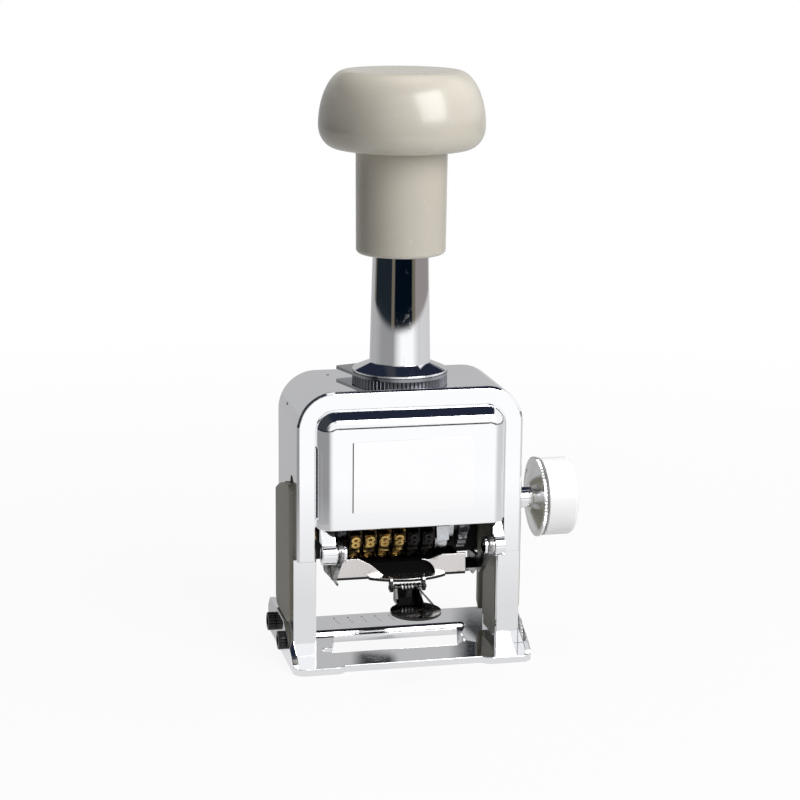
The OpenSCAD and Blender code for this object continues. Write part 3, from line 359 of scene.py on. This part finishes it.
def finish_material(name, light, dark, rough, metal=0.0, cloud=0.05, scratch=0.05, size=120.0,
                    tone_size=60.0, lift=0.002, coat=0.0, specular=0.5, edge=0.0, spots=None,
                    shade_room=None, painted_room_shade=0.022, flats=None):
    """A worn surface: two close shades, patchy gloss, fine marks, and on request
    spots (colour, amount, size), a shade room (middle, half, corner) in mm where
    inner faces are darkened as painted shade and made rougher, edges that catch
    the light and, on these, an effect that bends the shading."""
    material, tree, shader = new_material(name)
    wear = effect(tree, marks, Base_Roughness=rough, Cloud=cloud, Scratch=scratch, Size=size)
    colour = effect(tree, tone, Light=(*light, 1), Dark=(*dark, 1), Size=tone_size)["Color"]
    gloss = wear["Roughness"]
    bump = add_node(tree, "ShaderNodeBump", Strength=1.0, Distance=lift * MM,
                    Height=wear["Height"])
    if edge:
        soft = add_node(tree, "ShaderNodeBevel", samples=6, Radius=edge * MM).outputs["Normal"]
        if flats:
            soft = effect(tree, flats, Normal=soft)["Normal"]
        fill(tree, bump.inputs["Normal"], soft)
    if spots:
        spot_colour, amount, spot_size = spots
        mask = effect(tree, blotch, Size=spot_size, Amount=amount)["Mask"]
        colour = grade(tree, mask, colour, (*spot_colour, 1))
        gloss = grade(tree, mask, gloss, SPOT_ROUGH)
    # Painted shade: faces inside the room are darkened and made rougher.
    if shade_room:
        middle, half, corner = shade_room
        mask = effect(tree, inside, Middle=Vector(middle) * MM, Half=Vector(half) * MM,
                      Corner=corner * MM)["Mask"]
        colour = grade(tree, mask, colour, painted_room_shade)
        gloss = grade(tree, mask, gloss, ROOM_ROUGH)
    for socket, value in (
        ("Base Color", colour), ("Roughness", gloss), ("Metallic", metal),
        ("Specular IOR Level", specular), ("Coat Weight", coat),
        ("Coat Roughness", COAT_ROUGH), ("Normal", bump.outputs["Normal"]),
    ):
        fill(tree, shader.inputs[socket], value)
    return material


def dress(material, *nodes):
    """Gives CAD nodes their finish."""
    for name in nodes:
        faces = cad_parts[name].data
        faces.materials.clear()
        faces.materials.append(material)


PLATING = dict(light=(0.94, 0.945, 0.955), dark=(0.91, 0.915, 0.93), rough=0.015, metal=1.0,
               cloud=0.03, scratch=0.05, size=90.0, lift=0.0004, edge=0.3)
plated = finish_material("bright_plating", **PLATING)
dress(plated, "base_plate")


def only(piece):
    """Leaves one object selected and active."""
    bpy.ops.object.select_all(action="DESELECT")
    piece.select_set(True)
    bpy.context.view_layer.objects.active = piece


def bar(radius, length, middle, turn=(0, 0, 0), sides=24):
    """A round bar along Z round a middle, in mm, and then turned."""
    bpy.ops.mesh.primitive_cylinder_add(
        vertices=sides, radius=radius * MM, depth=length * MM,
        location=Vector(middle) * MM, rotation=turn)
    return bpy.context.object


def block(size, middle, turn=0.0):
    """A box of a size round a middle, in mm, and then turned about Z."""
    bpy.ops.mesh.primitive_cube_add(size=1, location=Vector(middle) * MM, rotation=(0, 0, turn))
    box = bpy.context.object
    box.scale = Vector(size) * MM
    bpy.ops.object.transform_apply(location=False, rotation=False, scale=True)
    return box


def bevel_edges(piece, width, steps=2, angle=40):
    """Rounds the sharp edges with a bevel modifier and applies it."""
    only(piece)
    rounding = piece.modifiers.new("rounding", "BEVEL")
    rounding.width = width * MM
    rounding.segments = steps
    rounding.limit_method = "ANGLE"
    rounding.angle_limit = math.radians(angle)
    bpy.ops.object.modifier_apply(modifier="rounding")
    return piece


def weld(pieces):
    """Joins objects into the first one."""
    bpy.ops.object.select_all(action="DESELECT")
    for piece in pieces:
        piece.select_set(True)
    bpy.context.view_layer.objects.active = pieces[0]
    bpy.ops.object.join()
    return pieces[0]


def settle(piece, name, material, body, slot, *replaced):
    """Bakes a piece's place into its mesh, dresses it and hangs it on its body."""
    only(piece)
    bpy.ops.object.transform_apply(location=True, rotation=True, scale=True)
    bpy.ops.object.mode_set(mode="EDIT")
    bpy.ops.mesh.select_all(action="SELECT")
    bpy.ops.mesh.remove_doubles(threshold=0.000002)
    bpy.ops.mesh.normals_make_consistent(inside=False)
    bpy.ops.object.mode_set(mode="OBJECT")
    bpy.ops.object.shade_smooth_by_angle(angle=math.radians(32))
    piece.name = name
    piece.data.materials.clear()
    piece.data.materials.append(material)
    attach(piece, body)
    if replaced:
        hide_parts(*replaced)
    return piece


WHEEL_X0, WHEEL_PITCH, MARK_COUNT, MARK_Z = -13.6, 3.9, 5, 1.8
DOT_R, DOT_H, DOT_Y, DOT_SHIFT = 0.28, 0.05, 17.8, -0.3
LINE_SIZE, LINE_Y, LINE_SHIFT, LINE_TURN = (0.10, 3.6, 0.02), 14.6, 0.35, math.radians(10)
scribed = finish_material("scribed_marks", (0.06, 0.06, 0.065), (0.03, 0.03, 0.035), 0.5,
                          cloud=0.3, size=400.0)
base_marks = []
for n in range(MARK_COUNT):
    x = WHEEL_X0 + DOT_SHIFT + n * WHEEL_PITCH
    base_marks.append(bevel_edges(bar(DOT_R, DOT_H, (x, DOT_Y, MARK_Z), sides=20), 0.015, 1))
    line = block(LINE_SIZE, (x + LINE_SHIFT, LINE_Y, MARK_Z), LINE_TURN)
    base_marks.append(bevel_edges(line, 0.005, 1))
settle(weld(base_marks), "base_marks", scribed, "frame", "chrome")


# Base screws ----------------------------------------------------------------
# Four blackened steel cap screws that hold the legs to the base plate's
# flanges. The two on the left have knurled heads; all have a hexagon socket.
SCREW_X, SCREW_Z, SCREW_YS = 32.0, 5.2, (-7.2, 9.0)
LEFT_HEAD, RIGHT_HEAD = (2.5, 2.0), (2.2, 0.6)
HEAD_EASE, KNURLS, KNURL_GAP, KNURL_H = 0.30, 18, 0.11, 0.27
SOCKET_SHARE, SOCKET_RISE, SHANK_R, SHANK_L = 0.56, 0.45, 1.5, 4
ALONG_X = (0, math.radians(90), 0)


def pick_faces(piece, test):
    """Selects the faces whose middle and normal pass a test, in edit mode."""
    only(piece)
    bpy.ops.object.mode_set(mode="EDIT")
    bpy.ops.mesh.select_mode(type="FACE")
    bpy.ops.mesh.select_all(action="DESELECT")
    bpy.ops.object.mode_set(mode="OBJECT")
    for face in piece.data.polygons:
        face.select = test(face.center, face.normal)
    bpy.ops.object.mode_set(mode="EDIT")


def cut_out(piece, tool):
    """Takes a tool's shape out of a piece and drops the tool."""
    only(piece)
    cut = piece.modifiers.new("cut", "BOOLEAN")
    cut.operation = "DIFFERENCE"
    cut.solver = "EXACT"
    cut.object = tool
    bpy.ops.object.modifier_apply(modifier="cut")
    bpy.data.objects.remove(tool)


def cap_screw(y, side, radius, depth, knurled):
    """A socket screw's head with its outer face towards +X or -X, and its shank."""
    middle = Vector((side * (SCREW_X + depth / 2), y, SCREW_Z))
    head = bar(radius - HEAD_EASE, depth, middle, ALONG_X, sides=KNURLS if knurled else 40)
    bpy.ops.object.transform_apply(location=True, rotation=True, scale=True)
    if knurled:
        pick_faces(head, lambda at, normal: abs(normal.x) < 0.5)
        bpy.ops.mesh.inset(thickness=KNURL_GAP * MM, depth=KNURL_H * MM, use_individual=True)
        bpy.ops.object.mode_set(mode="OBJECT")
        bevel_edges(head, 0.06, 2)
    else:
        bevel_edges(head, 0.16, 3)
    rise = Vector((side * depth * SOCKET_RISE, 0, 0))
    cut_out(head, bar(radius * SOCKET_SHARE, depth, middle + rise, ALONG_X, sides=6))
    shank = bar(SHANK_R, SHANK_L, (side * (SCREW_X - SHANK_L / 2), y, SCREW_Z), ALONG_X)
    return weld([head, bevel_edges(shank, 0.2, 2)])


black_oxide = finish_material("black_oxide", (0.012, 0.012, 0.013), (0.022, 0.021, 0.021), 0.30,
                              metal=0.3, cloud=0.15, size=300.0, lift=0.004,
                              spots=((0.11, 0.105, 0.10), 0.12, 900.0))
screws = [cap_screw(y, -1, *LEFT_HEAD, True) for y in SCREW_YS]
screws += [cap_screw(y, 1, *RIGHT_HEAD, False) for y in SCREW_YS]
settle(weld(screws), "socket_screws", black_oxide, "frame", "black_screw", "base_screws")


# Legs -----------------------------------------------------------------------
# Two angle-section castings, plated like the base. They stand on it between
# its flanges, held by the base screws, and a tenon on each enters the arch.
dress(plated, "left_leg", "right_leg")


# Guides ---------------------------------------------------------------------
# Moulded taupe guides that line the arch: a panel fills each side window and
# a groove inside holds the head's shoes. The mould left a fine grain.
taupe = finish_material("taupe_moulding", (0.375, 0.360, 0.295), (0.335, 0.320, 0.260), 0.36,
                        cloud=0.14, scratch=0.05, size=260.0, lift=0.02,
                        edge=0.2, spots=((0.27, 0.255, 0.205), 0.10, 260.0))
dress(taupe, "left_guide", "right_guide")


# Arch housing ---------------------------------------------------------------
# A cast arch, open at the front and back, and plated. Its inner faces are darkened as painted
# shade and made rougher. Small dowel pins show at its top and on the left shoulder.
ARCH_ROOM = ((0, 0, 46), (28.6, 13.9, 25.5), 8.4)
PIN_R, PIN_H = 0.42, 0.10
PIN_PLACES = (((-17.9, 6.9, 73.2), 0), ((-29.4, 3.5, 66.7), -69.5))
arch_plating = finish_material("arch_plating", **PLATING, shade_room=ARCH_ROOM, painted_room_shade=0.015)
dress(arch_plating, "arch_housing")
pin_steel = finish_material("pin_steel", (0.16, 0.16, 0.17), (0.10, 0.10, 0.11), 0.35, metal=1.0,
                            cloud=0.2, size=500.0)
pins = [bevel_edges(bar(PIN_R, PIN_H, place, (0, math.radians(tilt), 0)), 0.04, 2)
        for place, tilt in PIN_PLACES]
settle(weld(pins), "dowel_pins", pin_steel, "frame", "chrome")


# Covers and label plate -----------------------------------------------------
# The front and rear covers are pressed, bulged and plated, and their inner faces are darkened as
# painted shade; the front one ends in two rolled knuckles. The bare label plate is stuck on it.
COVER_ROOM = ((0, 0, 50), (23.4, 17.2, 17.6), 3.0)
REAR_ROOM = ((0, 0, 46), (23.4, 15.2, 21.6), 3.0)

# Polishing leaves two flats round the front cover's top and left edges, and
# one on the straps of its knuckles. They only bend the shading. A flat starts
# and is full at two slopes of the normal (its rise over its run to the front),
# and there the run becomes a fixed share of the rise.
CROWN_Z, STRAP_Z, STRAP_TOP_Z = (58.5, 60.0), (33.8, 34.2), (40.0, 39.0)
OUTER_FLAT, INNER_FLAT, STRAP_FLAT = (0.63, 0.66, 1.73), (0.72, 0.76, 1.19), (0.30, 0.36, 2.6)
LEAST_RUN = 0.05
crown, given, result = effect_group(
    "drawn_crown", [("Normal", VECTOR, (0, 0, 1))], [("Normal", VECTOR)])
place = add_node(crown, "ShaderNodeTexCoord").outputs["Object"]
up = add_node(crown, "ShaderNodeSeparateXYZ", Vector=place).outputs["Z"]
crown_edge, strap_edge, strap_top_edge = (
    (up, start * MM, end * MM) for start, end in (CROWN_Z, STRAP_Z, STRAP_TOP_Z))
on_crown = gate(crown, crown_edge)
on_strap = gate(crown, strap_edge, strap_top_edge)
face = add_node(crown, "ShaderNodeSeparateXYZ", Vector=given["Normal"]).outputs
run = maths(crown, "MAXIMUM", maths(crown, "MULTIPLY", face["Y"], -1.0), LEAST_RUN)
leftward = maths(crown, "MINIMUM", face["X"], 0.0)
rise_parts = add_node(crown, "ShaderNodeCombineXYZ", X=leftward, Z=face["Z"])
rise = vectors(crown, "LENGTH", rise_parts.outputs[0])
slope = maths(crown, "DIVIDE", rise, run)
for region, (start, full, run_share) in (
    (on_crown, OUTER_FLAT), (on_crown, INNER_FLAT), (on_strap, STRAP_FLAT),
):
    share = maths(crown, "MULTIPLY", spread(crown, slope, start, full), region)
    run = add_node(crown, "ShaderNodeMix", data_type="FLOAT", Factor=share, A=run,
                   B=maths(crown, "MULTIPLY", rise, run_share)).outputs["Result"]
bent = add_node(crown, "ShaderNodeCombineXYZ", X=face["X"],
                Y=maths(crown, "MULTIPLY", run, -1.0), Z=face["Z"]).outputs[0]
fill(crown, result["Normal"], vectors(crown, "NORMALIZE", bent))

cover_plating = finish_material("cover_plating", **PLATING, shade_room=COVER_ROOM, flats=crown)
rear_plating = finish_material("rear_cover_plating", **PLATING, shade_room=REAR_ROOM)
dress(cover_plating, "front_cover")
dress(rear_plating, "rear_cover")

# A black skirt inside the rear cover fills the gap behind the head: a dark sheet that stands in
# for the shade there.
APRON_X, APRON_Y, APRON_Z0, APRON_Z1, APRON_T = 27.4, 12.0, 21.4, 33.0, 0.6
APRON_LIP = (0, 0.5, -0.5)
apron = block((2 * APRON_X, APRON_T, APRON_Z1 - APRON_Z0),
              (0, APRON_Y, (APRON_Z0 + APRON_Z1) / 2))
pick_faces(apron, lambda at, normal: normal.z < -0.5)
bpy.ops.mesh.extrude_region_move(TRANSFORM_OT_translate={"value": Vector(APRON_LIP) * MM})
bpy.ops.object.mode_set(mode="OBJECT")
bevel_edges(apron, 0.12, 2)
skirt_shade = finish_material("painted_shade_sheet", (0.012, 0.012, 0.014), (0.022, 0.022, 0.025),
                              0.42, metal=0.4, cloud=0.2, scratch=0.12, size=220.0, lift=0.004)
settle(apron, "rear_shade_skirt", skirt_shade, "frame", "dark_steel")

# The label plate is bare metal. A dark strip at its left is a painted shadow of its edge.
label_metal = finish_material("bare_label_metal", (0.965, 0.965, 0.965), (0.93, 0.93, 0.935), 0.05,
                              metal=1.0, cloud=0.05, scratch=0.08, size=160.0, lift=0.001)
dress(label_metal, "label_plate")
low, high = (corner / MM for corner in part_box("label_plate"))
SHADOW_W, SHADOW_T, SHADOW_INSET, SHADOW_GAP = 0.22, 0.14, 0.06, 0.4
label_shadow = block((SHADOW_W, SHADOW_T, high.z - low.z - SHADOW_GAP),
             (low.x - SHADOW_W / 2, high.y - SHADOW_INSET, (low.z + high.z) / 2))
bevel_edges(label_shadow, 0.05, 2)
label_shadow_dark = finish_material("painted_label_shadow", (0.075, 0.072, 0.068), (0.045, 0.043, 0.040), 0.55,
                            cloud=0.3, size=900.0, lift=0.02)
settle(label_shadow, "label_shadow_line", label_shadow_dark, "frame", "dark_steel")


# Rear cover screws ----------------------------------------------------------
# Two plated pan-head screws in the rear cover. Each has a domed head with a
# straight slot, left at the angle where the screw was tight.
low, high = (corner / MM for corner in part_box("rear_cover_screws"))
PAN_R, PAN_H, PAN_SHANK_R, PAN_SHANK_L = (high.z - low.z) / 2, 1.2, 1.2, 3
PAN_X, PAN_Y, PAN_Z = high.x - PAN_R, high.y - PAN_H, (high.z + low.z) / 2
SLOT_W, SLOT_DEEP = PAN_R * 0.34, PAN_H * 0.9


def pan_screw(side, slot_turn):
    """A screw along Y with its slotted head towards +Y."""
    head = bevel_edges(bar(PAN_R, PAN_H, (0, 0, PAN_H / 2), sides=40), 0.35, 4)
    cut_out(head, block((PAN_R * 3, SLOT_W, SLOT_DEEP), (0, 0, PAN_H), slot_turn))
    head.rotation_euler = (math.radians(-90), 0, 0)
    head.location = Vector((side * PAN_X, PAN_Y, PAN_Z)) * MM
    shank = bar(PAN_SHANK_R, PAN_SHANK_L, (side * PAN_X, PAN_Y - PAN_SHANK_L / 2, PAN_Z),
                (math.radians(90), 0, 0))
    return weld([head, bevel_edges(shank, 0.2, 2)])


screws = [pan_screw(-1, 0.5), pan_screw(1, 1.9)]
settle(weld(screws), "rear_pan_screws", plated, "frame", "chrome", "rear_cover_screws")


# Neck, click ring and selector ----------------------------------------------
# The turned and plated neck guides the rod. Under its flange a dark steel
# selector plate with a tab clicks over the notches of a ring.
dress(plated, "guide_neck")
dark_plating = finish_material("dark_plating", (0.13, 0.135, 0.15), (0.085, 0.09, 0.10), 0.24,
                               metal=1.0, cloud=0.10, scratch=0.08, size=180.0,
                               spots=((0.10, 0.10, 0.11), 0.10, 500.0))
dress(dark_plating, "click_ring")
selector_steel = finish_material("selector_steel", (0.34, 0.35, 0.37), (0.24, 0.25, 0.27), 0.08,
                                 metal=1.0, cloud=0.08, scratch=0.08, size=160.0)
dress(selector_steel, "selector_plate")


# Bush and return spring -----------------------------------------------------
# A turned brass bush is pressed into the neck and guides the rod. A coil of bright spring wire
# stands on it inside the knob; on the stamp it shortens with a press, but here it is one fixed
# mesh.
turned_brass = finish_material("turned_brass", (0.80, 0.58, 0.26), (0.62, 0.42, 0.16), 0.20,
                               metal=1.0, cloud=0.15, scratch=0.1, size=300.0, lift=0.004,
                               spots=((0.30, 0.19, 0.08), 0.14, 420.0))
dress(turned_brass, "rod_bush")
bright_wire = finish_material("bright_wire", (0.78, 0.79, 0.81), (0.62, 0.63, 0.65), 0.14,
                              metal=1.0, cloud=0.1, scratch=0.06, size=500.0)
RETURN_R, RETURN_WIRE, RETURN_LOW, RETURN_HIGH, RETURN_TURNS = 4.7, 0.45, 78.4, 145.4, 15
COIL_STEPS, END_LEFT_OUT = 36, 0.8


def wire_piece(points, radius):
    """A smooth round wire through points in mm, as a mesh with closed ends."""
    path = bpy.data.curves.new("wire", "CURVE")
    path.dimensions = "3D"
    path.bevel_depth = radius * MM
    path.bevel_resolution = 3
    path.use_fill_caps = True
    line = path.splines.new("POLY")
    line.points.add(len(points) - 1)
    for point, place in zip(line.points, points):
        point.co = (*(Vector(place) * MM), 1)
    wire = bpy.data.objects.new("wire", path)
    bpy.context.scene.collection.objects.link(wire)
    only(wire)
    bpy.ops.object.convert(target="MESH")
    return bpy.context.object


# The end turns lie flat and would run into themselves, so that only a fifth
# of each is made.
path = []
for i in range(round(END_LEFT_OUT * COIL_STEPS),
               round((RETURN_TURNS - END_LEFT_OUT) * COIL_STEPS) + 1, 2):
    turn = i / COIL_STEPS
    climb = min(max((turn - 1) / (RETURN_TURNS - 2), 0), 1)
    path.append((RETURN_R * math.cos(math.tau * turn), RETURN_R * math.sin(math.tau * turn),
                 RETURN_LOW + climb * (RETURN_HIGH - RETURN_LOW)))
return_coil = settle(wire_piece(path, RETURN_WIRE), "return_coil", bright_wire, "frame",
                     "spring_steel", "return_spring")
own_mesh(return_coil)


# Plunger rod ----------------------------------------------------------------
# A ground steel rod that runs from the knob through the neck down to the
# head, where a hexagon nut holds it in the bridge between the cheeks.
ground_steel = finish_material("ground_steel", (0.46, 0.47, 0.49), (0.33, 0.34, 0.36), 0.20,
                               metal=1.0, cloud=0.15, scratch=0.14, size=260.0, lift=0.003)
dress(ground_steel, "plunger_rod", "rod_nut")


# Head frame -----------------------------------------------------------------
# Two stamped steel cheeks joined by a bridge, with shoes at their sides that
# slide in the guides. Stamping and oil have left them dark.
stamped_steel = finish_material("stamped_steel", (0.20, 0.20, 0.21), (0.13, 0.13, 0.14), 0.26,
                                metal=1.0, cloud=0.18, scratch=0.14, size=240.0, lift=0.004,
                                spots=((0.04, 0.04, 0.045), 0.20, 300.0))
dress(stamped_steel, "left_cheek", "right_cheek", "bridge", "guide_shoes")


# Wheel shaft and clips ------------------------------------------------------
# A ground steel shaft through both cheeks carries the wheels. A blackened
# steel clip in a groove at each end holds it.
dress(ground_steel, "wheel_shaft")
dark_steel = finish_material("dark_steel", (0.24, 0.24, 0.25), (0.15, 0.15, 0.16), 0.24,
                             metal=1.0, cloud=0.15, scratch=0.1, size=240.0,
                             spots=((0.05, 0.05, 0.05), 0.18, 420.0))
dress(dark_steel, "shaft_clips")


# Type wheels ----------------------------------------------------------------
# Six blackened wheels with ten type blocks each. The figures stand proud in mirror writing; four
# wheels show brass figures, and the last two get darker copies of the body and figure finishes as
# painted shade.
SHAFT_Y, SHAFT_Z, BLOCK_R, TYPE_R, FIGURE_ROOT = -3.5, 35.1, 8.78, 9.28, 0.15
FIGURE_H, FIGURE_W, THIN_ONE, FIGURES = 3.5, 2.4, 0.55, 10
STROKE_EXTRA, STROKE_BEVEL = 0.018, 0.012
FIGURE_SHIFT, WHEELS, LIT_WHEELS = -0.45, 6, 4
type_body_shaded = finish_material("shaded_blackened_type", (0.030, 0.027, 0.025), (0.015, 0.013, 0.011), 0.24,
                             metal=0.9, cloud=0.2, scratch=0.1, size=500.0, lift=0.006)
type_brass = finish_material("type_brass", (0.88, 0.62, 0.24), (0.66, 0.43, 0.13), 0.22, metal=1.0,
                             cloud=0.2, scratch=0.1, size=600.0, lift=0.01,
                             spots=((0.16, 0.09, 0.03), 0.20, 900.0))
type_shaded = finish_material("shaded_type", (0.018, 0.016, 0.015), (0.010, 0.009, 0.010), 0.25,
                             metal=0.6, cloud=0.2, size=600.0, lift=0.01,
                             spots=((0.22, 0.15, 0.06), 0.06, 700.0))
type_worn = finish_material("worn_type", (0.075, 0.055, 0.032), (0.030, 0.024, 0.016), 0.24,
                            metal=1.0, cloud=0.2, scratch=0.1, size=500.0, lift=0.006,
                            spots=((0.62, 0.41, 0.14), 0.20, 520.0))


def figure(digit):
    """One raised figure, made flat, sized, and set on its block."""
    bpy.ops.object.text_add(location=(0, 0, 0))
    letter = bpy.context.object
    letter.data.body = str(digit)
    letter.data.align_x = "CENTER"
    letter.data.resolution_u = 4
    letter.data.extrude = 0.05
    letter.data.offset = STROKE_EXTRA
    letter.data.bevel_depth = STROKE_BEVEL
    letter.data.bevel_resolution = 1
    bpy.ops.object.convert(target="MESH")
    shape = bpy.context.object
    corners = [Vector(corner) for corner in shape.bound_box]
    low = Vector([min(corner[i] for corner in corners) for i in range(3)])
    high = Vector([max(corner[i] for corner in corners) for i in range(3)])
    span, middle = high - low, (high + low) / 2
    width = FIGURE_W * (THIN_ONE if digit == 1 else 1.0)
    fit = Matrix.Diagonal((width * MM / span.x, FIGURE_H * MM / span.y,
                           (TYPE_R - BLOCK_R + FIGURE_ROOT) * MM / span.z, 1))
    drop = Matrix.Translation((0, 0, -(TYPE_R + BLOCK_R - FIGURE_ROOT) / 2 * MM))
    seat = Matrix.Translation(Vector((0, SHAFT_Y, SHAFT_Z)) * MM)
    turn = Matrix.Rotation(digit * 2 * math.pi / FIGURES, 4, "X")
    shape.data.transform(seat @ turn @ drop @ fit @ Matrix.Translation(-middle))
    return shape


figure_ring = weld([figure(digit) for digit in range(FIGURES)])
# Wheels past the lit ones get the darker copies: painted shade.
for n in range(1, WHEELS + 1):
    bare = n <= LIT_WHEELS
    dress(type_worn if bare else type_body_shaded, f"wheel_{n}")
    wheel_figures = figure_ring.copy()
    wheel_figures.data = figure_ring.data.copy()
    bpy.context.scene.collection.objects.link(wheel_figures)
    shift = Vector((WHEEL_X0 + FIGURE_SHIFT + (n - 1) * WHEEL_PITCH, 0, 0)) * MM
    wheel_figures.data.transform(Matrix.Translation(shift))
    settle(wheel_figures, f"figures_{n}", type_brass if bare else type_shaded,
           f"wheel_body_{n}", "type_metal")
bpy.data.objects.remove(figure_ring)


# Repeat ratchet and feed ----------------------------------------------------
# Hardened steel: the ratchet that counts repeats, the swinging cheeks and the
# stepped pawl that feeds the wheels, with its light coil spring.
star_steel = finish_material("star_steel", (0.62, 0.64, 0.66), (0.45, 0.46, 0.48), 0.16, metal=1.0,
                             cloud=0.15, scratch=0.12, size=260.0, lift=0.003)
dress(star_steel, "repeat_ratchet", "feed_pawl", "pawl_rod")
dress(stamped_steel, "feed_cheeks")


def coil(start, pitch, radius, turns):
    """Points of a coil along X from a start on its axis, in mm."""
    x, y, z = start
    return [
        (x + pitch * i / COIL_STEPS, y + radius * math.cos(math.tau * i / COIL_STEPS),
         z + radius * math.sin(math.tau * i / COIL_STEPS))
        for i in range(int(turns * COIL_STEPS) + 1)
    ]


PAWL_WIRE, PAWL_PITCH, PAWL_TURNS = 0.25, 0.62, 3
low, high = (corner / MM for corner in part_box("pawl_spring"))
start = (low.x + PAWL_WIRE, (low.y + high.y) / 2, (low.z + high.z) / 2)
path = coil(start, PAWL_PITCH, (high.z - low.z) / 2 - PAWL_WIRE, PAWL_TURNS)
settle(wire_piece(path, PAWL_WIRE), "pawl_coil", bright_wire, "feed", "spring_steel",
       "pawl_spring")


# Detent comb ----------------------------------------------------------------
# A comb cut from a leaf of bright spring steel, with one finger over each
# wheel. Two small screws hold it under the bridge.
dress(bright_wire, "detent_comb")
dress(ground_steel, "comb_screws")


# Ink pad holder -------------------------------------------------------------
# Stamped arms on two plated pivots carry a nickel tray. Dried ink has
# stained the metal round the felt pad.
# Painted shade: the tray is darkened within this box.
TRAY_ROOM = ((0, -4, 20), (30, 14, 2.35), 0.3)
dress(plated, "pad_pivots")
arm_steel = finish_material("stained_arms", (0.50, 0.495, 0.49), (0.30, 0.295, 0.29), 0.20,
                            metal=1.0, cloud=0.2, scratch=0.12, size=240.0, lift=0.004,
                            spots=((0.03, 0.028, 0.03), 0.24, 260.0))
dress(arm_steel, "pad_arms")
nickel = finish_material("satin_nickel", (0.86, 0.83, 0.81), (0.66, 0.63, 0.61), 0.15,
                         metal=1.0, cloud=0.20, scratch=0.14, size=150.0, lift=0.004, edge=0.25,
                         spots=((0.12, 0.11, 0.105), 0.10, 260.0),
                         shade_room=TRAY_ROOM, painted_room_shade=0.03)
dress(nickel, "pad_tray")
ink_black = finish_material("inked_felt", (0.002, 0.002, 0.002), (0.005, 0.004, 0.005), 0.60,
                            cloud=0.3, scratch=0.2, size=1400.0, lift=0.05, specular=0.06)
dress(ink_black, "ink_pad")


# Finger tab and spring ------------------------------------------------------
# A dark polished tab hangs from a pin under the tray, with a web between its
# side walls. A torsion spring holds it down with one long leg.
dark_mirror = finish_material("dark_mirror", (0.055, 0.053, 0.052), (0.035, 0.033, 0.032), 0.05,
                              metal=1.0, cloud=0.08, scratch=0.12, size=220.0, lift=0.001,
                              spots=((0.12, 0.115, 0.11), 0.08, 500.0))
dress(dark_mirror, "tab_pin", "finger_tab")
TAB_X, TAB_Y, TAB_Z, TAB_SLOPE = -0.8, -15.1, 20.4, math.radians(1)
WEB_HALF, WEB_Y, WEB_Z0, WEB_Z1, WEB_T = 3.55, 0.78, -3.3, 0.45, 0.25
WEB_LIP = (0, -0.2, 0.25)
web = block((2 * WEB_HALF, WEB_T, WEB_Z1 - WEB_Z0),
            (TAB_X, TAB_Y + WEB_Y, TAB_Z + (WEB_Z0 + WEB_Z1) / 2))
pick_faces(web, lambda at, normal: normal.z > 0.5)
bpy.ops.mesh.extrude_region_move(TRANSFORM_OT_translate={"value": Vector(WEB_LIP) * MM})
bpy.ops.object.mode_set(mode="OBJECT")
bevel_edges(web, 0.08, 2)
settle(web, "tab_web", dark_mirror, "tab", "mirror_steel")

TAB_COIL_R, TAB_TURNS, TAB_PITCH, TAB_WIRE = 0.75, 4.25, 0.9, 0.26
LEG_REACH, LEG_DROP, LEG_ASIDE, LEG_STOPS = 7.3, 3.5, 3.2, (0.2, 0.5, 0.8, 1.0)
half = TAB_PITCH * TAB_TURNS / 2
path = coil((-half, 0, 0), TAB_PITCH, TAB_COIL_R, TAB_TURNS)
path += [(half + LEG_ASIDE * t, -LEG_REACH * t, TAB_COIL_R - LEG_DROP * t) for t in LEG_STOPS]
tab_wire = wire_piece(path, TAB_WIRE)
tab_wire.rotation_euler = (TAB_SLOPE, 0, 0)
tab_wire.location = Vector((TAB_X, TAB_Y, TAB_Z)) * MM
settle(tab_wire, "tab_coil", bright_wire, "tab", "spring_steel", "tab_spring")


# Knob -----------------------------------------------------------------------
# The palm knob and its sleeve are moulded in warm grey plastic with a high
# gloss, polished by use and a little yellowed. A brass insert takes the rod.
warm_grey = finish_material("warm_grey_plastic", (0.600, 0.565, 0.485), (0.570, 0.535, 0.455),
                            0.22, cloud=0.07, scratch=0.04, size=60.0, tone_size=30.0,
                            lift=0.002, coat=0.30)
dress(warm_grey, "knob_head", "knob_sleeve")
dress(turned_brass, "knob_insert")


# Side knob ------------------------------------------------------------------
# A white moulded knob and a steel disc with a fine-toothed rim, held by two
# rivets, turn the lock cam through a plated stud and bush.
white_plastic = finish_material("white_plastic", (0.98, 0.98, 0.975), (0.96, 0.96, 0.955), 0.18,
                                cloud=0.06, scratch=0.03, size=90.0, lift=0.002, coat=0.2)
dress(white_plastic, "side_knob")
disc_steel = finish_material("disc_steel", (0.90, 0.90, 0.89), (0.74, 0.74, 0.73), 0.12, metal=1.0,
                             cloud=0.14, scratch=0.12, size=200.0, lift=0.002,
                             spots=((0.14, 0.135, 0.13), 0.10, 500.0))
dress(disc_steel, "toothed_disc")
dress(plated, "dial_stud", "dial_bush")
dress(dark_steel, "lock_cam")
DISC_X, DISC_Z, RIVET_Y, RIVET_Z, RIVET_R, RIVET_H = 37.7, 38.9, 4.4, 4.6, 1.3, 0.30
RIVET_SINK, DIMPLE_RIM, DIMPLE_DEPTH = 0.05, 0.42, 0.16
rivets = []
for side in (-1, 1):
    rivet = bar(RIVET_R, RIVET_H,
                (DISC_X - RIVET_H / 2 + RIVET_SINK, RIVET_Y, DISC_Z + RIVET_Z * side),
                (0, math.radians(-90), 0), sides=32)
    bpy.ops.object.transform_apply(location=True, rotation=True, scale=True)
    pick_faces(rivet, lambda at, normal: normal.x < -0.5)
    bpy.ops.mesh.inset(thickness=DIMPLE_RIM * MM, depth=-DIMPLE_DEPTH * MM)
    bpy.ops.object.mode_set(mode="OBJECT")
    rivets.append(bevel_edges(rivet, 0.07, 2))
settle(weld(rivets), "disc_rivets", dark_steel, "dial", "steel")
